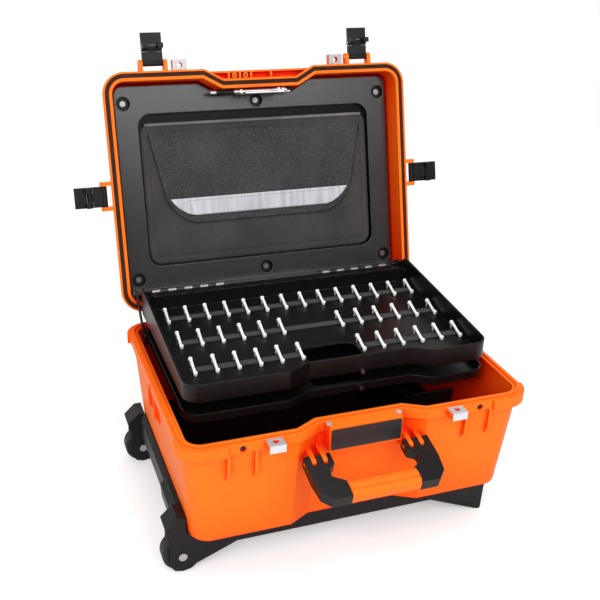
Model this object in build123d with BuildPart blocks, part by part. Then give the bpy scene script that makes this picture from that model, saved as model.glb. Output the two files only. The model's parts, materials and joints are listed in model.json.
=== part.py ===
from build123d import *
from math import atan2, cos, radians, sin, tan
import os

os.makedirs("parts", exist_ok=True)

# Wheeled hard plastic tool case with its lid open, millimetres.
# X runs along the case to the right, Y to the back, Z up. The floor is z = 0.
# Places are written from the middle of the case, which stands case_y in front of the origin.
case_y = -48.8

# Case outline
rim_half_w = 271.0
rim_front_y = -201.0
rim_back_y = 199.0
rim_radius = 36.0
step_depth = 18.0
step_half_w = 65.0
step_outer_w = 98.0
step_radius = 5.0

# Base tub
rim_z = 241.0
band_bottom_z = 226.0
tub_bottom_z = 67.0
band_step = 5.0
tub_bottom_inset = 19.0
tub_bottom_radius = 30.0
tub_bottom_fillet = 7.0
rim_width = 14.0
wall = 4.5
tongue_outer = 4.6
tongue_inner = 8.4
tongue_height = 2.5
bumper_proud = 4.0
bumper_x = 206.0
bumper_length = 40.0
bumper_bottom_z = 224.0
bumper_top_z = 240.0

# Lid, described closed and then swung back about the hinge
lid_angle = 105.0
hinge_y = 211.4
hinge_z = 242.4
lid_lip = 8.0
lid_depth = 68.0
lid_body_inset = 4.0
lid_top_inset = 12.0
lid_top_fillet = 7.0
lid_roof = 4.0
lid_rim_width = 15.0
lid_wall_draft = 2.0
lid_panel_inset = 48.0
lid_panel_height = 3.0
groove_outer = 3.0
groove_inner = 10.0
groove_depth = 5.0
gasket_gap = 0.4
gasket_seat = 2.4
ledge_rib_x = (-54.0, -34.0, -14.0, 22.0)
ledge_rib = 3.5
ledge_skin = 3.0
ledge_depth = 14.0
ledge_boss_r = 4.5
ledge_boss_hole_r = 1.8

# Lid hinges, two groups of knuckles
hinge_pin_r = 3.0
knuckle_r = 8.0
knuckle_length = 20.0
knuckle_count = 5
hinge_x = 150.0
pin_clearance = 0.05
knuckle_gap = 0.4
knuckle_root = 6.0
knuckle_arm_drop = 13.0

# Latches: ears on the lid, link, lever, and the ribbed bay on the base
latch_x = 184.0
latch_side_y = -1.0
latch_w = 34.0
latch_gap = 0.5
ear_thickness = 6.5
ear_reach = 18.6
ear_height = 14.0
ear_bevel = 4.0
latch_pivot_out = 12.6
latch_pivot_up = 6.0
link_length = 24.0
lever_length = 25.0
latch_barrel_r = 5.0
latch_pin_r = 2.0
latch_plate = 6.5
latch_middle_w = 15.0
nib_reach = 17.0
nib_length = 7.9
rivet_z = 232.0
rivet_r = 3.2
rivet_length = 2.5
rivet_hole_r = 5.0
rivet_hole_depth = 4.0
bay_rib = 5.0
bay_rib_proud = 4.0
bay_rib_top_z = 227.0
bay_rib_bend_z = 192.0
bay_rib_bottom_z = 172.0

# Padlock tabs on base and lid, with steel plates
tab_x = 140.0
tab_half_w = 12.0
tab_reach = 17.0
tab_hole_out = 8.0
padlock_hole_r = 4.5
tab_thickness = 10.0
plate_thickness = 2.0

# Label boss and bare label plate on the front
boss_half_w = 56.5
boss_bottom_z = 200.0
boss_depth = 26.0
label_half_w = 54.5
label_bottom_z = 204.0
label_top_z = 237.0
label_thickness = 1.5
label_screw_y = -190.0
label_screw_depth = 8.0
small_screw_r = 2.2
small_head_height = 1.2

# Front handle: two black arms on four lugs and a grip between them
handle_y = -208.0
handle_z = 192.0
handle_drop_angle = 14.0
handle_pin_r = 3.0
lug_x = (67.0, 84.0)
lug_thickness = 7.0
lug_r = 8.0
lug_spread = 8.0
slot_clearance = 0.5
slot_depth = 11.0
arm_inner_x = 57.0
arm_outer_x = 97.0
arm_tail = 7.0
arm_thickness = 17.0
grip_half_w = 52.0
grip_near = 46.0
grip_far = 74.0
grip_thickness = 24.0
grip_radius = 9.0
grip_groove_r = 1.6
grip_groove_edge = 8.0

# Trolley base: frame, wheel carriage, wheels and pull handle
trolley_front_y = -155.0
trolley_back_y = 177.0
rail_width = 37.0
rail_bottom_z = 38.0
rail_left_x = -177.8
foot_left_x = 144.0
foot_right_x = 243.0
foot_tip_w = 7.0
foot_tip_back = 3.0
cross_block_w = 41.0
wheel_x = -261.5
wheel_r = 28.8
wheel_w = 25.0
wheel_gap = 2.0
tyre_fillet = 3.0
hub_r = 19.0
hub_recess = 4.0
hub_boss_r = 9.0
axle_r = 4.0
axle_clearance = 0.08
axle_head_r = 6.5
axle_head_height = 2.0
cheek = 4.0
housing_top_z = 98.0
carriage_rail_x = -265.0
carriage_step_y = -50.0
tube_spacing = 180.0
tube_r = 7.0
tube_wall = 1.5
tube_z = 52.5
tube_left_x = -160.0
tube_clearance = 0.1
pull_grip_x = 252.0
pull_grip_w = 16.0
pull_grip_height = 22.0
pull_grip_margin = 15.0
trolley_screw_x = (-150.0, 0.0, 120.0)
trolley_screw_edge = 6.0
trolley_screw_r = 2.5
trolley_head_r = 4.5
trolley_head_height = 3.0

# Lid panel; heights are measured from the lid's rim plane into the lid
panel_face = 36.0
panel_sheet = 3.0
panel_inset = 22.0
panel_radius = 16.0
shelf_y = 168.1
shelf_thickness = 4.0
shelf_start = 4.2
recess_half_w = 212.0
recess_front_y = -132.6
recess_back_y = 129.4
recess_depth = 12.0
recess_radius = 22.0
screw_x = 234.0
screw_front_y = -151.0
screw_middle_y = -147.0
screw_back_y = 150.4
cup_r = 13.0
cup_wall = 1.5
cup_depth = 9.0
washer_r = 10.8
washer_thickness = 1.5
screw_head_r = 5.0
screw_head_height = 2.5
screw_shank_r = 2.5
screw_length = 14.0
screw_boss_r = 8.0

# Document pocket in the panel's recess
pouch_half_w = 208.0
pouch_front_y = -118.0
pouch_back_y = 126.0
pouch_thickness = 6.7
pouch_radius = 20.0
pocket_gap = 0.3
flap_gap = 0.4
flap_thickness = 2.7
flap_radius = 8.0
flap_outline = (
    (-171.0, 23.4),
    (-185.0, -32.6),
    (-195.5, -91.6),
    (-190.0, -98.6),
    (190.0, -98.6),
    (195.5, -91.6),
    (185.0, -32.6),
    (171.0, 23.4),
    (146.0, 53.4),
    (115.0, 59.4),
    (-115.0, 59.4),
    (-146.0, 53.4),
)
stripe_half_w = 170.0
stripe_front_y = 15.4
stripe_back_y = 45.4
stripe_end_slant = 22.0
stripe_thickness = 0.6

# Tray catch at the front of the panel: a slotted plate and a bolt that slides across it
catch_plate_y = -158.6
catch_plate_thickness = 1.6
catch_left_x = -36.0
catch_right_x = 43.0
catch_reach = 26.0
catch_flange_front_y = -165.0
catch_flange_thickness = 1.8
catch_slot_w = 8.0
catch_slot_depth = 10.0
catch_ear = 3.0
catch_ear_half = 7.0
bolt_y = -162.0
bolt_height = 12.0
bolt_r = 3.0
bolt_left_x = -88.0
bolt_right_x = 50.0
bolt_clearance = 0.1
finger_x = 23.0
finger_w = 4.0
finger_thickness = 2.0
finger_toe = 2.0
sleeve_r = 4.5
sleeve_left_x = -78.0
sleeve_length = 31.0
knob_length = 10.0

# Trays
tray_half_w = 244.0
tray_front_y = -117.0
upper_back_y = 213.0
lower_back_y = 181.0
upper_rim_z = 291.5
lower_rim_z = 243.0
upper_bottom_z = 261.0
lower_bottom_z = 228.0
tray_radius = 26.0
tray_step = 18.0
tray_notch_left = (-88.0, -52.0)
tray_notch_right = (149.0, 117.0)
tray_floor = 3.0
tray_wall = 3.0
tray_bottom_fillet = 2.5
tray_rim_fillet = 1.0
hand_left_x = -33.0
hand_right_x = 57.0
hand_front_y = -72.0
hand_back_y = -6.0
hand_radius = 14.0
stud_x = 33.0
upper_stud_z = 265.0
lower_stud_z = 235.5
stud_r = 3.5
stud_length = 7.0
stud_shank_r = 2.0

# Ledge at the back of the upper tray, and its side walls, which rise to the back
ledge_front_y = 195.0
ledge_top_z = 288.5
ledge_hollow_top_z = 281.0
tip_top_z = 312.0
tip_start_y = -85.0
tip_peak_y = 186.0
tip_inner_x = 222.0

# Tray hinge: two piano hinges for the upper tray and one pair of ears for the lower tray
tray_axis_y = 222.8
tray_axis_z = 284.9
leaf_inner_x = 93.0
leaf_outer_x = 220.0
leaf_knuckle_r = 3.4
leaf_pin_r = 1.6
leaf_thickness = 1.4
leaf_knuckles = 9
leaf_gap = 0.2
tray_leaf_front_y = 198.0
lid_leaf_depth = 25.0
tray_ear_x = 245.4
tray_ear_thickness = 3.2
tray_ear_gap = 0.6
tray_ear_r = 6.0
tray_pin_r = 2.5
panel_lug_thickness = 3.0

# Tool clips on elastic bands
clip_middle_x = 12.0
clip_pitch = 34.2
clip_count = 14
clip_rows = (151.5, 62.5, -26.5)
clip_length = 34.0
clip_knob_r = 3.4
clip_shaft_r = 2.2
clip_shaft_height = 9.0
clip_height = 15.0
band_width = 14.0
band_thickness = 1.6
band_half_w = 226.0
band_hand_gap = 2.0

# Base insert and its divider
insert_inset = 24.4
insert_radius = 24.0
insert_wall = 2.5
insert_height = 23.5
divider_x = 155.0
divider_y = -20.0
divider_height = 78.5
divider_thickness = 4.0
divider_gap = 0.3

# Worked out from the values above
insert_floor_z = tub_bottom_z + wall
bay_half_w = latch_w / 2 + latch_gap
cavity_top = lid_depth - lid_roof
cup_floor = panel_face + cup_depth
recess_floor = panel_face + recess_depth
tab_top_z = rim_z - plate_thickness
trolley_y = (trolley_front_y + trolley_back_y) / 2
rail_starts = (trolley_front_y, trolley_back_y - rail_width)
tube_ys = (trolley_y - tube_spacing / 2, trolley_y + tube_spacing / 2)
shelf_back_y = shelf_y + shelf_thickness
lid_turn = radians(lid_angle)
axis_y = hinge_y + (tray_axis_y - hinge_y) * cos(lid_turn) - (tray_axis_z - hinge_z) * sin(lid_turn)
axis_height = (tray_axis_y - hinge_y) * sin(lid_turn) + (tray_axis_z - hinge_z) * cos(lid_turn)
tray_floor_z = upper_bottom_z + tray_floor
panel_lug_x = tray_ear_x + tray_ear_thickness + tray_ear_gap + panel_lug_thickness

latch_names = ("front_left", "front_right", "side_left", "side_right")
latch_places = (
    (-latch_x, rim_front_y, (0, -1, 0)),
    (latch_x, rim_front_y, (0, -1, 0)),
    (-rim_half_w, latch_side_y, (-1, 0, 0)),
    (rim_half_w, latch_side_y, (1, 0, 0)),
)

lid_open = (
    Location((0, case_y + hinge_y, hinge_z))
    * Rotation(-lid_angle, 0, 0)
    * Location((0, -case_y - hinge_y, -hinge_z))
)


def level(z):
    """A level plane at height z, with its middle on the middle of the case."""
    return Plane((0, case_y, z))


def side(x):
    """A plane facing right at x, drawn in Y and Z."""
    return Plane((x, case_y, 0), x_dir=(0, 1, 0), z_dir=(1, 0, 0))


def front(y):
    """A plane facing forward at y, drawn in X and Z."""
    return Plane((0, case_y + y, 0), x_dir=(1, 0, 0), z_dir=(0, -1, 0))


def lid_level(height):
    """A plane across the open lid, this far from its rim plane towards its roof."""
    return Plane(lid_open * level(hinge_z + height).location)


def lid_side(x):
    """A plane facing right at x, drawn in the closed lid's Y and its height above the rim plane."""
    closed = Plane((x, case_y, hinge_z), x_dir=(0, 1, 0), z_dir=(1, 0, 0))
    return Plane(lid_open * closed.location)


def notched_points(half_w, front_y, back_y, inset, step, left, right):
    """Corners of an outline with a set-back middle in its front, all moved in by inset.

    left and right hold the X of the outer and the inner end of each slanted piece.
    """
    points = [
        (half_w - inset, front_y + inset),
        (half_w - inset, back_y - inset),
        (-half_w + inset, back_y - inset),
        (-half_w + inset, front_y + inset),
    ]
    shift = inset * tan(atan2(step, left[1] - left[0]) / 2)
    points.append((left[0] - shift, front_y + inset))
    points.append((left[1] - shift, front_y + inset + step))
    shift = inset * tan(atan2(step, right[0] - right[1]) / 2)
    points.append((right[1] + shift, front_y + inset + step))
    points.append((right[0] + shift, front_y + inset))
    return points


def rounded_outline(points, radius):
    """A notched outline as a sketch, with its four corners and the slanted pieces rounded."""
    Polygon(*points, align=None)
    edge = max(x for x, y in points)
    fillet([v for v in vertices() if abs(abs(v.X) - edge) < 0.01], radius)
    fillet([v for v in vertices() if abs(v.X) < edge - radius - 1], step_radius)


def case_outline(inset, radius):
    """The case outline moved in by inset."""
    left = (-step_outer_w, -step_half_w)
    right = (step_outer_w, step_half_w)
    points = notched_points(rim_half_w, rim_front_y, rim_back_y, inset, step_depth, left, right)
    rounded_outline(points, radius)


def plain_outline(inset, radius):
    """The case outline without the set-back middle."""
    width = 2 * (rim_half_w - inset)
    depth = rim_back_y - rim_front_y - 2 * inset
    with Locations((0, (rim_back_y + rim_front_y) / 2)):
        RectangleRounded(width, depth, radius)


def tray_outline(inset, back_y):
    """The outline of a tray moved in by inset."""
    points = notched_points(
        tray_half_w, tray_front_y, back_y, inset, tray_step, tray_notch_left, tray_notch_right
    )
    rounded_outline(points, tray_radius - inset)


def ring_sketch(plane, outer, inner):
    """A ring that follows the case outline between two insets."""
    with BuildSketch(plane) as ring:
        case_outline(outer, rim_radius - outer)
    with BuildSketch(plane) as hole:
        case_outline(inner, rim_radius - inner)
    return ring.sketch - hole.sketch


def latch_plane(index, across):
    """The profile plane of one latch on the open lid, this far across its width.

    Its X runs outward from the lid's face and its Y up from the rim plane.
    """
    x, y, outward = latch_places[index]
    width_way = Vector(*outward).cross(Vector(0, 0, 1))
    origin = Vector(x, y + case_y, hinge_z) + width_way * across
    closed = Plane(origin, x_dir=outward, z_dir=width_way)
    return Plane(lid_open * closed.location)


def knuckle_starts(first):
    """Left ends of every second knuckle of both lid hinges, from the first."""
    return [
        centre + (i - knuckle_count / 2) * knuckle_length + knuckle_gap / 2
        for centre in (-hinge_x, hinge_x)
        for i in range(first, knuckle_count, 2)
    ]


def leaf_knuckle_starts(first):
    """Left ends of every second knuckle of both piano hinges, from the first."""
    pitch = (leaf_outer_x - leaf_inner_x) / leaf_knuckles
    return [
        start + i * pitch + leaf_gap
        for start in (-leaf_outer_x, leaf_inner_x)
        for i in range(first, leaf_knuckles, 2)
    ]


def write(builder, name):
    """Label a finished piece and write it."""
    builder.part.label = name
    export_step(builder.part, f"parts/{name}.step")


tongue_ring = ring_sketch(level(rim_z), tongue_outer, tongue_inner)
groove_ring = ring_sketch(lid_level(0), groove_outer, groove_inner)
gasket_ring = ring_sketch(lid_level(gasket_seat), groove_outer + gasket_gap, groove_inner - gasket_gap)

# Base tub
rib_profile = [
    (2 * bay_rib_proud, bay_rib_top_z),
    (0.0, bay_rib_top_z),
    (0.0, bay_rib_bend_z),
    (tub_bottom_inset - tub_bottom_fillet, bay_rib_bottom_z),
    (tub_bottom_inset - 2, bay_rib_bottom_z + 6),
]
tab_places = ((-tab_x, rim_front_y - tab_hole_out), (tab_x, rim_front_y - tab_hole_out))
label_screw_places = ((-label_half_w, label_screw_y), (label_half_w, label_screw_y))
with BuildPart() as base_shell:
    with BuildSketch(level(tub_bottom_z)):
        case_outline(tub_bottom_inset, tub_bottom_radius)
    with BuildSketch(level(band_bottom_z)):
        case_outline(band_step, rim_radius)
    loft(ruled=True)
    fillet(faces().sort_by(Axis.Z)[0].edges(), tub_bottom_fillet)
    with BuildSketch(level(band_bottom_z)):
        case_outline(0, rim_radius)
    extrude(amount=rim_z - band_bottom_z)
    # Corner bumpers, proud of the band
    corner_w = rim_half_w + bumper_proud - bumper_x
    corner_x = bumper_x + corner_w / 2
    front_corner_y = rim_front_y - bumper_proud + bumper_length / 2
    back_corner_y = rim_back_y + bumper_proud - bumper_length / 2
    with BuildSketch(level(bumper_bottom_z)):
        case_outline(-bumper_proud, rim_radius + bumper_proud)
        with Locations(
            (-corner_x, front_corner_y),
            (corner_x, front_corner_y),
            (-corner_x, back_corner_y),
            (corner_x, back_corner_y),
        ):
            Rectangle(corner_w, bumper_length, mode=Mode.INTERSECT)
    extrude(amount=bumper_top_z - bumper_bottom_z)
    # Label boss across the set-back middle
    with BuildSketch(level(boss_bottom_z)):
        with Locations((0, rim_front_y + boss_depth / 2)):
            Rectangle(2 * boss_half_w, boss_depth)
    extrude(amount=rim_z - boss_bottom_z)
    # Ribs beside the latch bays, down to where they meet the tapered wall
    front_rib_starts = [
        way * latch_x + place
        for way in (-1, 1)
        for place in (-bay_half_w - bay_rib, bay_half_w)
    ]
    for rib_x in front_rib_starts:
        with BuildSketch(side(rib_x)):
            Polygon(*[(rim_front_y + d, z) for d, z in rib_profile], align=None)
        extrude(amount=bay_rib)
    for rib_y in (latch_side_y - bay_half_w, latch_side_y + bay_half_w + bay_rib):
        for way in (-1, 1):
            with BuildSketch(front(rib_y)):
                Polygon(*[(way * (rim_half_w - d), z) for d, z in rib_profile], align=None)
            extrude(amount=bay_rib)
    # Padlock tabs
    with BuildSketch(level(tab_top_z - tab_thickness)):
        with Locations((-tab_x, rim_front_y - tab_reach / 2), (tab_x, rim_front_y - tab_reach / 2)):
            Rectangle(2 * tab_half_w, tab_reach)
        with Locations((-tab_x, rim_front_y), (tab_x, rim_front_y)):
            Rectangle(2 * tab_half_w, 2 * band_step)
    extrude(amount=tab_thickness)
    # Handle lugs
    for x in (-lug_x[1], -lug_x[0], lug_x[0], lug_x[1]):
        with BuildSketch(side(x - lug_thickness / 2)):
            Polygon(
                (handle_y, handle_z + lug_r),
                (handle_y, handle_z - lug_r),
                (rim_front_y + step_depth + tub_bottom_inset, handle_z - lug_r - lug_spread),
                (rim_front_y + step_depth + tub_bottom_inset, handle_z + lug_r + lug_spread),
                align=None,
            )
            with Locations((handle_y, handle_z)):
                Circle(lug_r)
        extrude(amount=lug_thickness)
    # Inside of the tub
    with BuildSketch(level(insert_floor_z)):
        case_outline(tub_bottom_inset + wall, tub_bottom_radius - wall)
    with BuildSketch(level(rim_z)):
        case_outline(rim_width, rim_radius - rim_width)
    loft(ruled=True, mode=Mode.SUBTRACT)
    # Sealing tongue on the rim
    extrude(tongue_ring, amount=tongue_height)
    # Hinge knuckles and their bore
    for x in knuckle_starts(0):
        with BuildSketch(side(x)):
            Polygon(
                (rim_back_y - knuckle_root, rim_z - knuckle_arm_drop),
                (rim_back_y, rim_z - knuckle_arm_drop),
                (hinge_y, hinge_z - knuckle_r),
                (hinge_y, hinge_z),
                (rim_back_y - knuckle_root, rim_z),
                align=None,
            )
            with Locations((hinge_y, hinge_z)):
                Circle(knuckle_r)
        extrude(amount=knuckle_length - knuckle_gap)
    with BuildSketch(side(-rim_half_w)):
        with Locations((hinge_y, hinge_z)):
            Circle(hinge_pin_r + pin_clearance)
    extrude(amount=2 * rim_half_w, mode=Mode.SUBTRACT)
    # Handle pin bores
    with BuildSketch(side(-arm_outer_x)):
        with Locations((handle_y, handle_z)):
            Circle(handle_pin_r + pin_clearance)
    extrude(amount=2 * arm_outer_x, mode=Mode.SUBTRACT)
    # Padlock holes and label screw holes
    with BuildSketch(level(tab_top_z - tab_thickness)):
        with Locations(*tab_places):
            Circle(padlock_hole_r)
    extrude(amount=tab_thickness, mode=Mode.SUBTRACT)
    with BuildSketch(level(rim_z - label_screw_depth)):
        with Locations(*label_screw_places):
            Circle(small_screw_r)
    extrude(amount=label_screw_depth, mode=Mode.SUBTRACT)
    # Round holes that take the latch rivets
    with BuildSketch(front(rim_front_y + rivet_hole_depth)):
        with Locations((-latch_x, rivet_z), (latch_x, rivet_z)):
            Circle(rivet_hole_r)
    extrude(amount=rivet_hole_depth, mode=Mode.SUBTRACT)
    for x in (-rim_half_w, rim_half_w - rivet_hole_depth):
        with BuildSketch(side(x)):
            with Locations((latch_side_y, rivet_z)):
                Circle(rivet_hole_r)
        extrude(amount=rivet_hole_depth, mode=Mode.SUBTRACT)
write(base_shell, "base_shell")

with BuildPart() as latch_rivets:
    with BuildSketch(front(rim_front_y + rivet_hole_depth)):
        with Locations((-latch_x, rivet_z), (latch_x, rivet_z)):
            Circle(rivet_r)
    extrude(amount=rivet_length)
    for x in (-rim_half_w + rivet_hole_depth - rivet_length, rim_half_w - rivet_hole_depth):
        with BuildSketch(side(x)):
            with Locations((latch_side_y, rivet_z)):
                Circle(rivet_r)
        extrude(amount=rivet_length)
write(latch_rivets, "latch_rivets")

with BuildPart() as label_plate:
    with BuildSketch(front(rim_front_y)):
        with Locations((0, (label_bottom_z + label_top_z) / 2)):
            RectangleRounded(2 * label_half_w, label_top_z - label_bottom_z, 2)
    extrude(amount=label_thickness)
write(label_plate, "label_plate")

with BuildPart() as label_screws:
    with BuildSketch(level(rim_z)):
        with Locations(*label_screw_places):
            Circle(2 * small_screw_r)
    extrude(amount=small_head_height)
    with BuildSketch(level(rim_z - label_screw_depth)):
        with Locations(*label_screw_places):
            Circle(small_screw_r)
    extrude(amount=label_screw_depth)
write(label_screws, "label_screws")

# Steel plates on the padlock tabs of the base: a flat top and a turned lip, with a hole
with BuildPart() as base_padlock_plates:
    tab_end_y = rim_front_y - tab_reach
    for x in (-tab_x, tab_x):
        with BuildSketch(side(x - tab_half_w)):
            Polygon(
                (rim_front_y - pin_clearance, tab_top_z),
                (rim_front_y - pin_clearance, rim_z),
                (tab_end_y - plate_thickness, rim_z),
                (tab_end_y - plate_thickness, tab_top_z - tab_thickness),
                (tab_end_y, tab_top_z - tab_thickness),
                (tab_end_y, tab_top_z),
                align=None,
            )
        extrude(amount=2 * tab_half_w)
    with BuildSketch(level(tab_top_z)):
        with Locations(*tab_places):
            Circle(padlock_hole_r)
    extrude(amount=plate_thickness, mode=Mode.SUBTRACT)
write(base_padlock_plates, "base_padlock_plates")

# Insert tray and its divider
with BuildPart() as insert_tray:
    with BuildSketch(level(insert_floor_z)):
        case_outline(insert_inset, insert_radius)
    extrude(amount=insert_height)
    with BuildSketch(level(insert_floor_z + insert_wall)):
        case_outline(insert_inset + insert_wall, insert_radius - insert_wall)
    extrude(amount=insert_height, mode=Mode.SUBTRACT)
write(insert_tray, "insert_tray")

divider_boards = (
    (divider_x, 0, divider_thickness, rim_back_y - rim_front_y),
    (divider_x + rim_half_w / 2, divider_y, rim_half_w, divider_thickness),
)
with BuildPart() as insert_divider:
    for x, y, width, depth in divider_boards:
        with BuildSketch(level(insert_floor_z + insert_wall)):
            case_outline(insert_inset + insert_wall + divider_gap, insert_radius - insert_wall)
            with Locations((x, y)):
                Rectangle(width, depth, mode=Mode.INTERSECT)
        extrude(amount=divider_height)
write(insert_divider, "insert_divider")

# Front handle; its plane lies along the drooping arms, with Y running out to the grip
handle_tilt = radians(handle_drop_angle)
handle_plane = Plane(
    (0, case_y + handle_y, handle_z),
    x_dir=(1, 0, 0),
    z_dir=(0, sin(handle_tilt), -cos(handle_tilt)),
)
grip_plane = Plane(
    (-grip_half_w, case_y + handle_y, handle_z),
    x_dir=(0, -cos(handle_tilt), -sin(handle_tilt)),
    z_dir=(1, 0, 0),
)
arm_outline = (
    (arm_inner_x, -arm_tail),
    (arm_inner_x, slot_depth + 2),
    (arm_inner_x + 11, slot_depth + 10),
    (arm_inner_x + 12, grip_near - 11),
    (grip_half_w, grip_near),
    (grip_half_w, grip_far),
    (arm_outer_x - 17, grip_far),
    (arm_outer_x - 4, grip_far - 14),
    (arm_outer_x, grip_near - 14),
    (arm_outer_x, -arm_tail),
)
with BuildPart() as handle_pins:
    for start_x in (-arm_outer_x, arm_inner_x):
        with BuildSketch(side(start_x)):
            with Locations((handle_y, handle_z)):
                Circle(handle_pin_r)
        extrude(amount=arm_outer_x - arm_inner_x)
write(handle_pins, "handle_pins")

for way, name in ((-1, "handle_arm_left"), (1, "handle_arm_right")):
    with BuildPart() as handle_arm:
        with BuildSketch(handle_plane.offset(-arm_thickness / 2)):
            Polygon(*[(way * x, out) for x, out in arm_outline], align=None)
        extrude(amount=arm_thickness)
        # Slots for the lugs
        with BuildSketch(handle_plane.offset(-arm_thickness)):
            with Locations(*[(way * x, slot_depth / 2 - arm_tail) for x in lug_x]):
                Rectangle(lug_thickness + 2 * slot_clearance, slot_depth + 2 * arm_tail)
        extrude(amount=2 * arm_thickness, mode=Mode.SUBTRACT)
        with BuildSketch(side(-arm_outer_x)):
            with Locations((handle_y, handle_z)):
                Circle(handle_pin_r + pin_clearance)
        extrude(amount=2 * arm_outer_x, mode=Mode.SUBTRACT)
    write(handle_arm, name)

with BuildPart() as handle_grip:
    with BuildSketch(grip_plane):
        with Locations(((grip_near + grip_far) / 2, 0)):
            RectangleRounded(grip_far - grip_near, grip_thickness, grip_radius)
        # Grooves along the grip
        for out in (grip_near + grip_groove_edge, grip_far - grip_groove_edge):
            with Locations((out, grip_thickness / 2), (out, -grip_thickness / 2)):
                Circle(grip_groove_r, mode=Mode.SUBTRACT)
    extrude(amount=2 * grip_half_w)
write(handle_grip, "handle_grip")

# Trolley base. The wheel carriage holds both housings and the rail between them
housing_outline = (
    (wheel_x - 6.5, housing_top_z),
    (wheel_x - 24.5, housing_top_z - 18),
    (wheel_x - 18.5, 54.0),
    (wheel_x - 19.5, 15.0),
    (wheel_x - 12.0, 5.0),
    (wheel_x, 2.0),
    (wheel_x + 12.0, 4.5),
    (wheel_x + 20.5, 11.7),
    (rail_left_x, rail_bottom_z),
    (rail_left_x, tub_bottom_z),
    (1 - rim_half_w + tub_bottom_inset, tub_bottom_z),
    (-rim_half_w + tub_bottom_inset - 3, tub_bottom_z + 5),
    (-rim_half_w + tub_bottom_inset - 4.5, housing_top_z),
)
carriage_outline = (
    (carriage_rail_x + 8.5, housing_top_z),
    (carriage_rail_x, housing_top_z - 5),
    (carriage_rail_x, tub_bottom_z - 5),
    (carriage_rail_x + 12, rail_bottom_z + 10),
    (carriage_rail_x + 22, rail_bottom_z + 10),
    (carriage_rail_x + 22, tub_bottom_z),
    (1 - rim_half_w + tub_bottom_inset, tub_bottom_z),
    (-rim_half_w + tub_bottom_inset - 3, tub_bottom_z + 5),
)
bevel_outline = (
    (carriage_rail_x + 4, housing_top_z),
    (carriage_rail_x - 6, housing_top_z - 10),
    (carriage_rail_x - 4, tub_bottom_z - 3),
    (carriage_rail_x + 4, tub_bottom_z - 8),
)
with BuildPart() as wheel_carriage:
    for start_y in rail_starts:
        with BuildSketch(front(start_y + rail_width)):
            Polygon(*housing_outline, align=None)
        extrude(amount=rail_width)
    with BuildSketch(front(rail_starts[1])):
        Polygon(*carriage_outline, align=None)
    extrude(amount=rail_starts[1] - rail_starts[0] - rail_width)
    with BuildSketch(front(carriage_step_y)):
        Polygon(*bevel_outline, align=None)
    extrude(amount=carriage_step_y - trolley_front_y - rail_width)
    # Wheel wells, open to the left and below
    for start_y in rail_starts:
        with BuildSketch(front(start_y + rail_width - cheek)):
            with Locations((wheel_x, wheel_r)):
                Circle(wheel_r + wheel_gap)
            with Locations((wheel_x - wheel_r, wheel_r)):
                Rectangle(2 * wheel_r, 2 * wheel_r)
            with Locations((wheel_x, 0)):
                Rectangle(2 * (wheel_r + wheel_gap), 2 * wheel_r)
        extrude(amount=rail_width - 2 * cheek, mode=Mode.SUBTRACT)
    with BuildSketch(front(trolley_back_y)):
        with Locations((wheel_x, wheel_r)):
            Circle(axle_r)
    extrude(amount=trolley_back_y - trolley_front_y, mode=Mode.SUBTRACT)
write(wheel_carriage, "wheel_carriage")

# The frame is two side rails that end in feet, with two cross blocks that guide the pull tubes
foot_outline = (
    (rail_left_x, rail_bottom_z),
    (foot_left_x, rail_bottom_z),
    (foot_right_x - foot_tip_back - foot_tip_w, 0),
    (foot_right_x - foot_tip_back, 0),
    (foot_right_x, tub_bottom_z),
    (rail_left_x, tub_bottom_z),
)
screw_ys = (trolley_front_y + trolley_screw_edge, trolley_back_y - trolley_screw_edge)
screw_places = [(x, case_y + y, rail_bottom_z) for x in trolley_screw_x for y in screw_ys]
with BuildPart() as trolley_frame:
    for start_y in rail_starts:
        with BuildSketch(front(start_y + rail_width)):
            Polygon(*foot_outline, align=None)
        extrude(amount=rail_width)
    block_xs = (rail_left_x + cross_block_w / 2, foot_right_x - foot_tip_back - cross_block_w / 2)
    with BuildSketch(level(rail_bottom_z)):
        with Locations(*[(x, trolley_y) for x in block_xs]):
            Rectangle(cross_block_w, rail_starts[1] - rail_starts[0])
    extrude(amount=tub_bottom_z - rail_bottom_z)
    for y in tube_ys:
        with BuildSketch(side(rail_left_x)):
            with Locations((y, tube_z)):
                Circle(tube_r + tube_clearance)
        extrude(amount=foot_right_x - rail_left_x, mode=Mode.SUBTRACT)
    with Locations(*[Location(place, (180, 0, 0)) for place in screw_places]):
        CounterBoreHole(
            trolley_screw_r, trolley_head_r, trolley_head_height, depth=tub_bottom_z - rail_bottom_z
        )
write(trolley_frame, "trolley_frame")

with BuildPart() as trolley_screws:
    with BuildSketch(Plane.XY.offset(rail_bottom_z)):
        with Locations(*[(x, y) for x, y, z in screw_places]):
            Circle(trolley_head_r)
    extrude(amount=trolley_head_height)
    with BuildSketch(Plane.XY.offset(rail_bottom_z)):
        with Locations(*[(x, y) for x, y, z in screw_places]):
            Circle(trolley_screw_r)
    extrude(amount=tub_bottom_z - rail_bottom_z)
write(trolley_screws, "trolley_screws")

with BuildPart() as pull_tubes:
    for y in tube_ys:
        with BuildSketch(side(tube_left_x)):
            with Locations((y, tube_z)):
                Circle(tube_r)
                Circle(tube_r - tube_wall, mode=Mode.SUBTRACT)
        extrude(amount=pull_grip_x - pull_grip_w / 2 - tube_left_x)
write(pull_tubes, "pull_tubes")

with BuildPart() as pull_grip:
    with BuildSketch(side(pull_grip_x - pull_grip_w / 2)):
        with Locations((trolley_y, tube_z)):
            RectangleRounded(tube_spacing + 2 * pull_grip_margin, pull_grip_height, pull_grip_height / 4)
    extrude(amount=pull_grip_w)
    fillet(faces().sort_by(Axis.X)[-1].edges(), pull_grip_w / 4)
write(pull_grip, "pull_grip")

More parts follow.
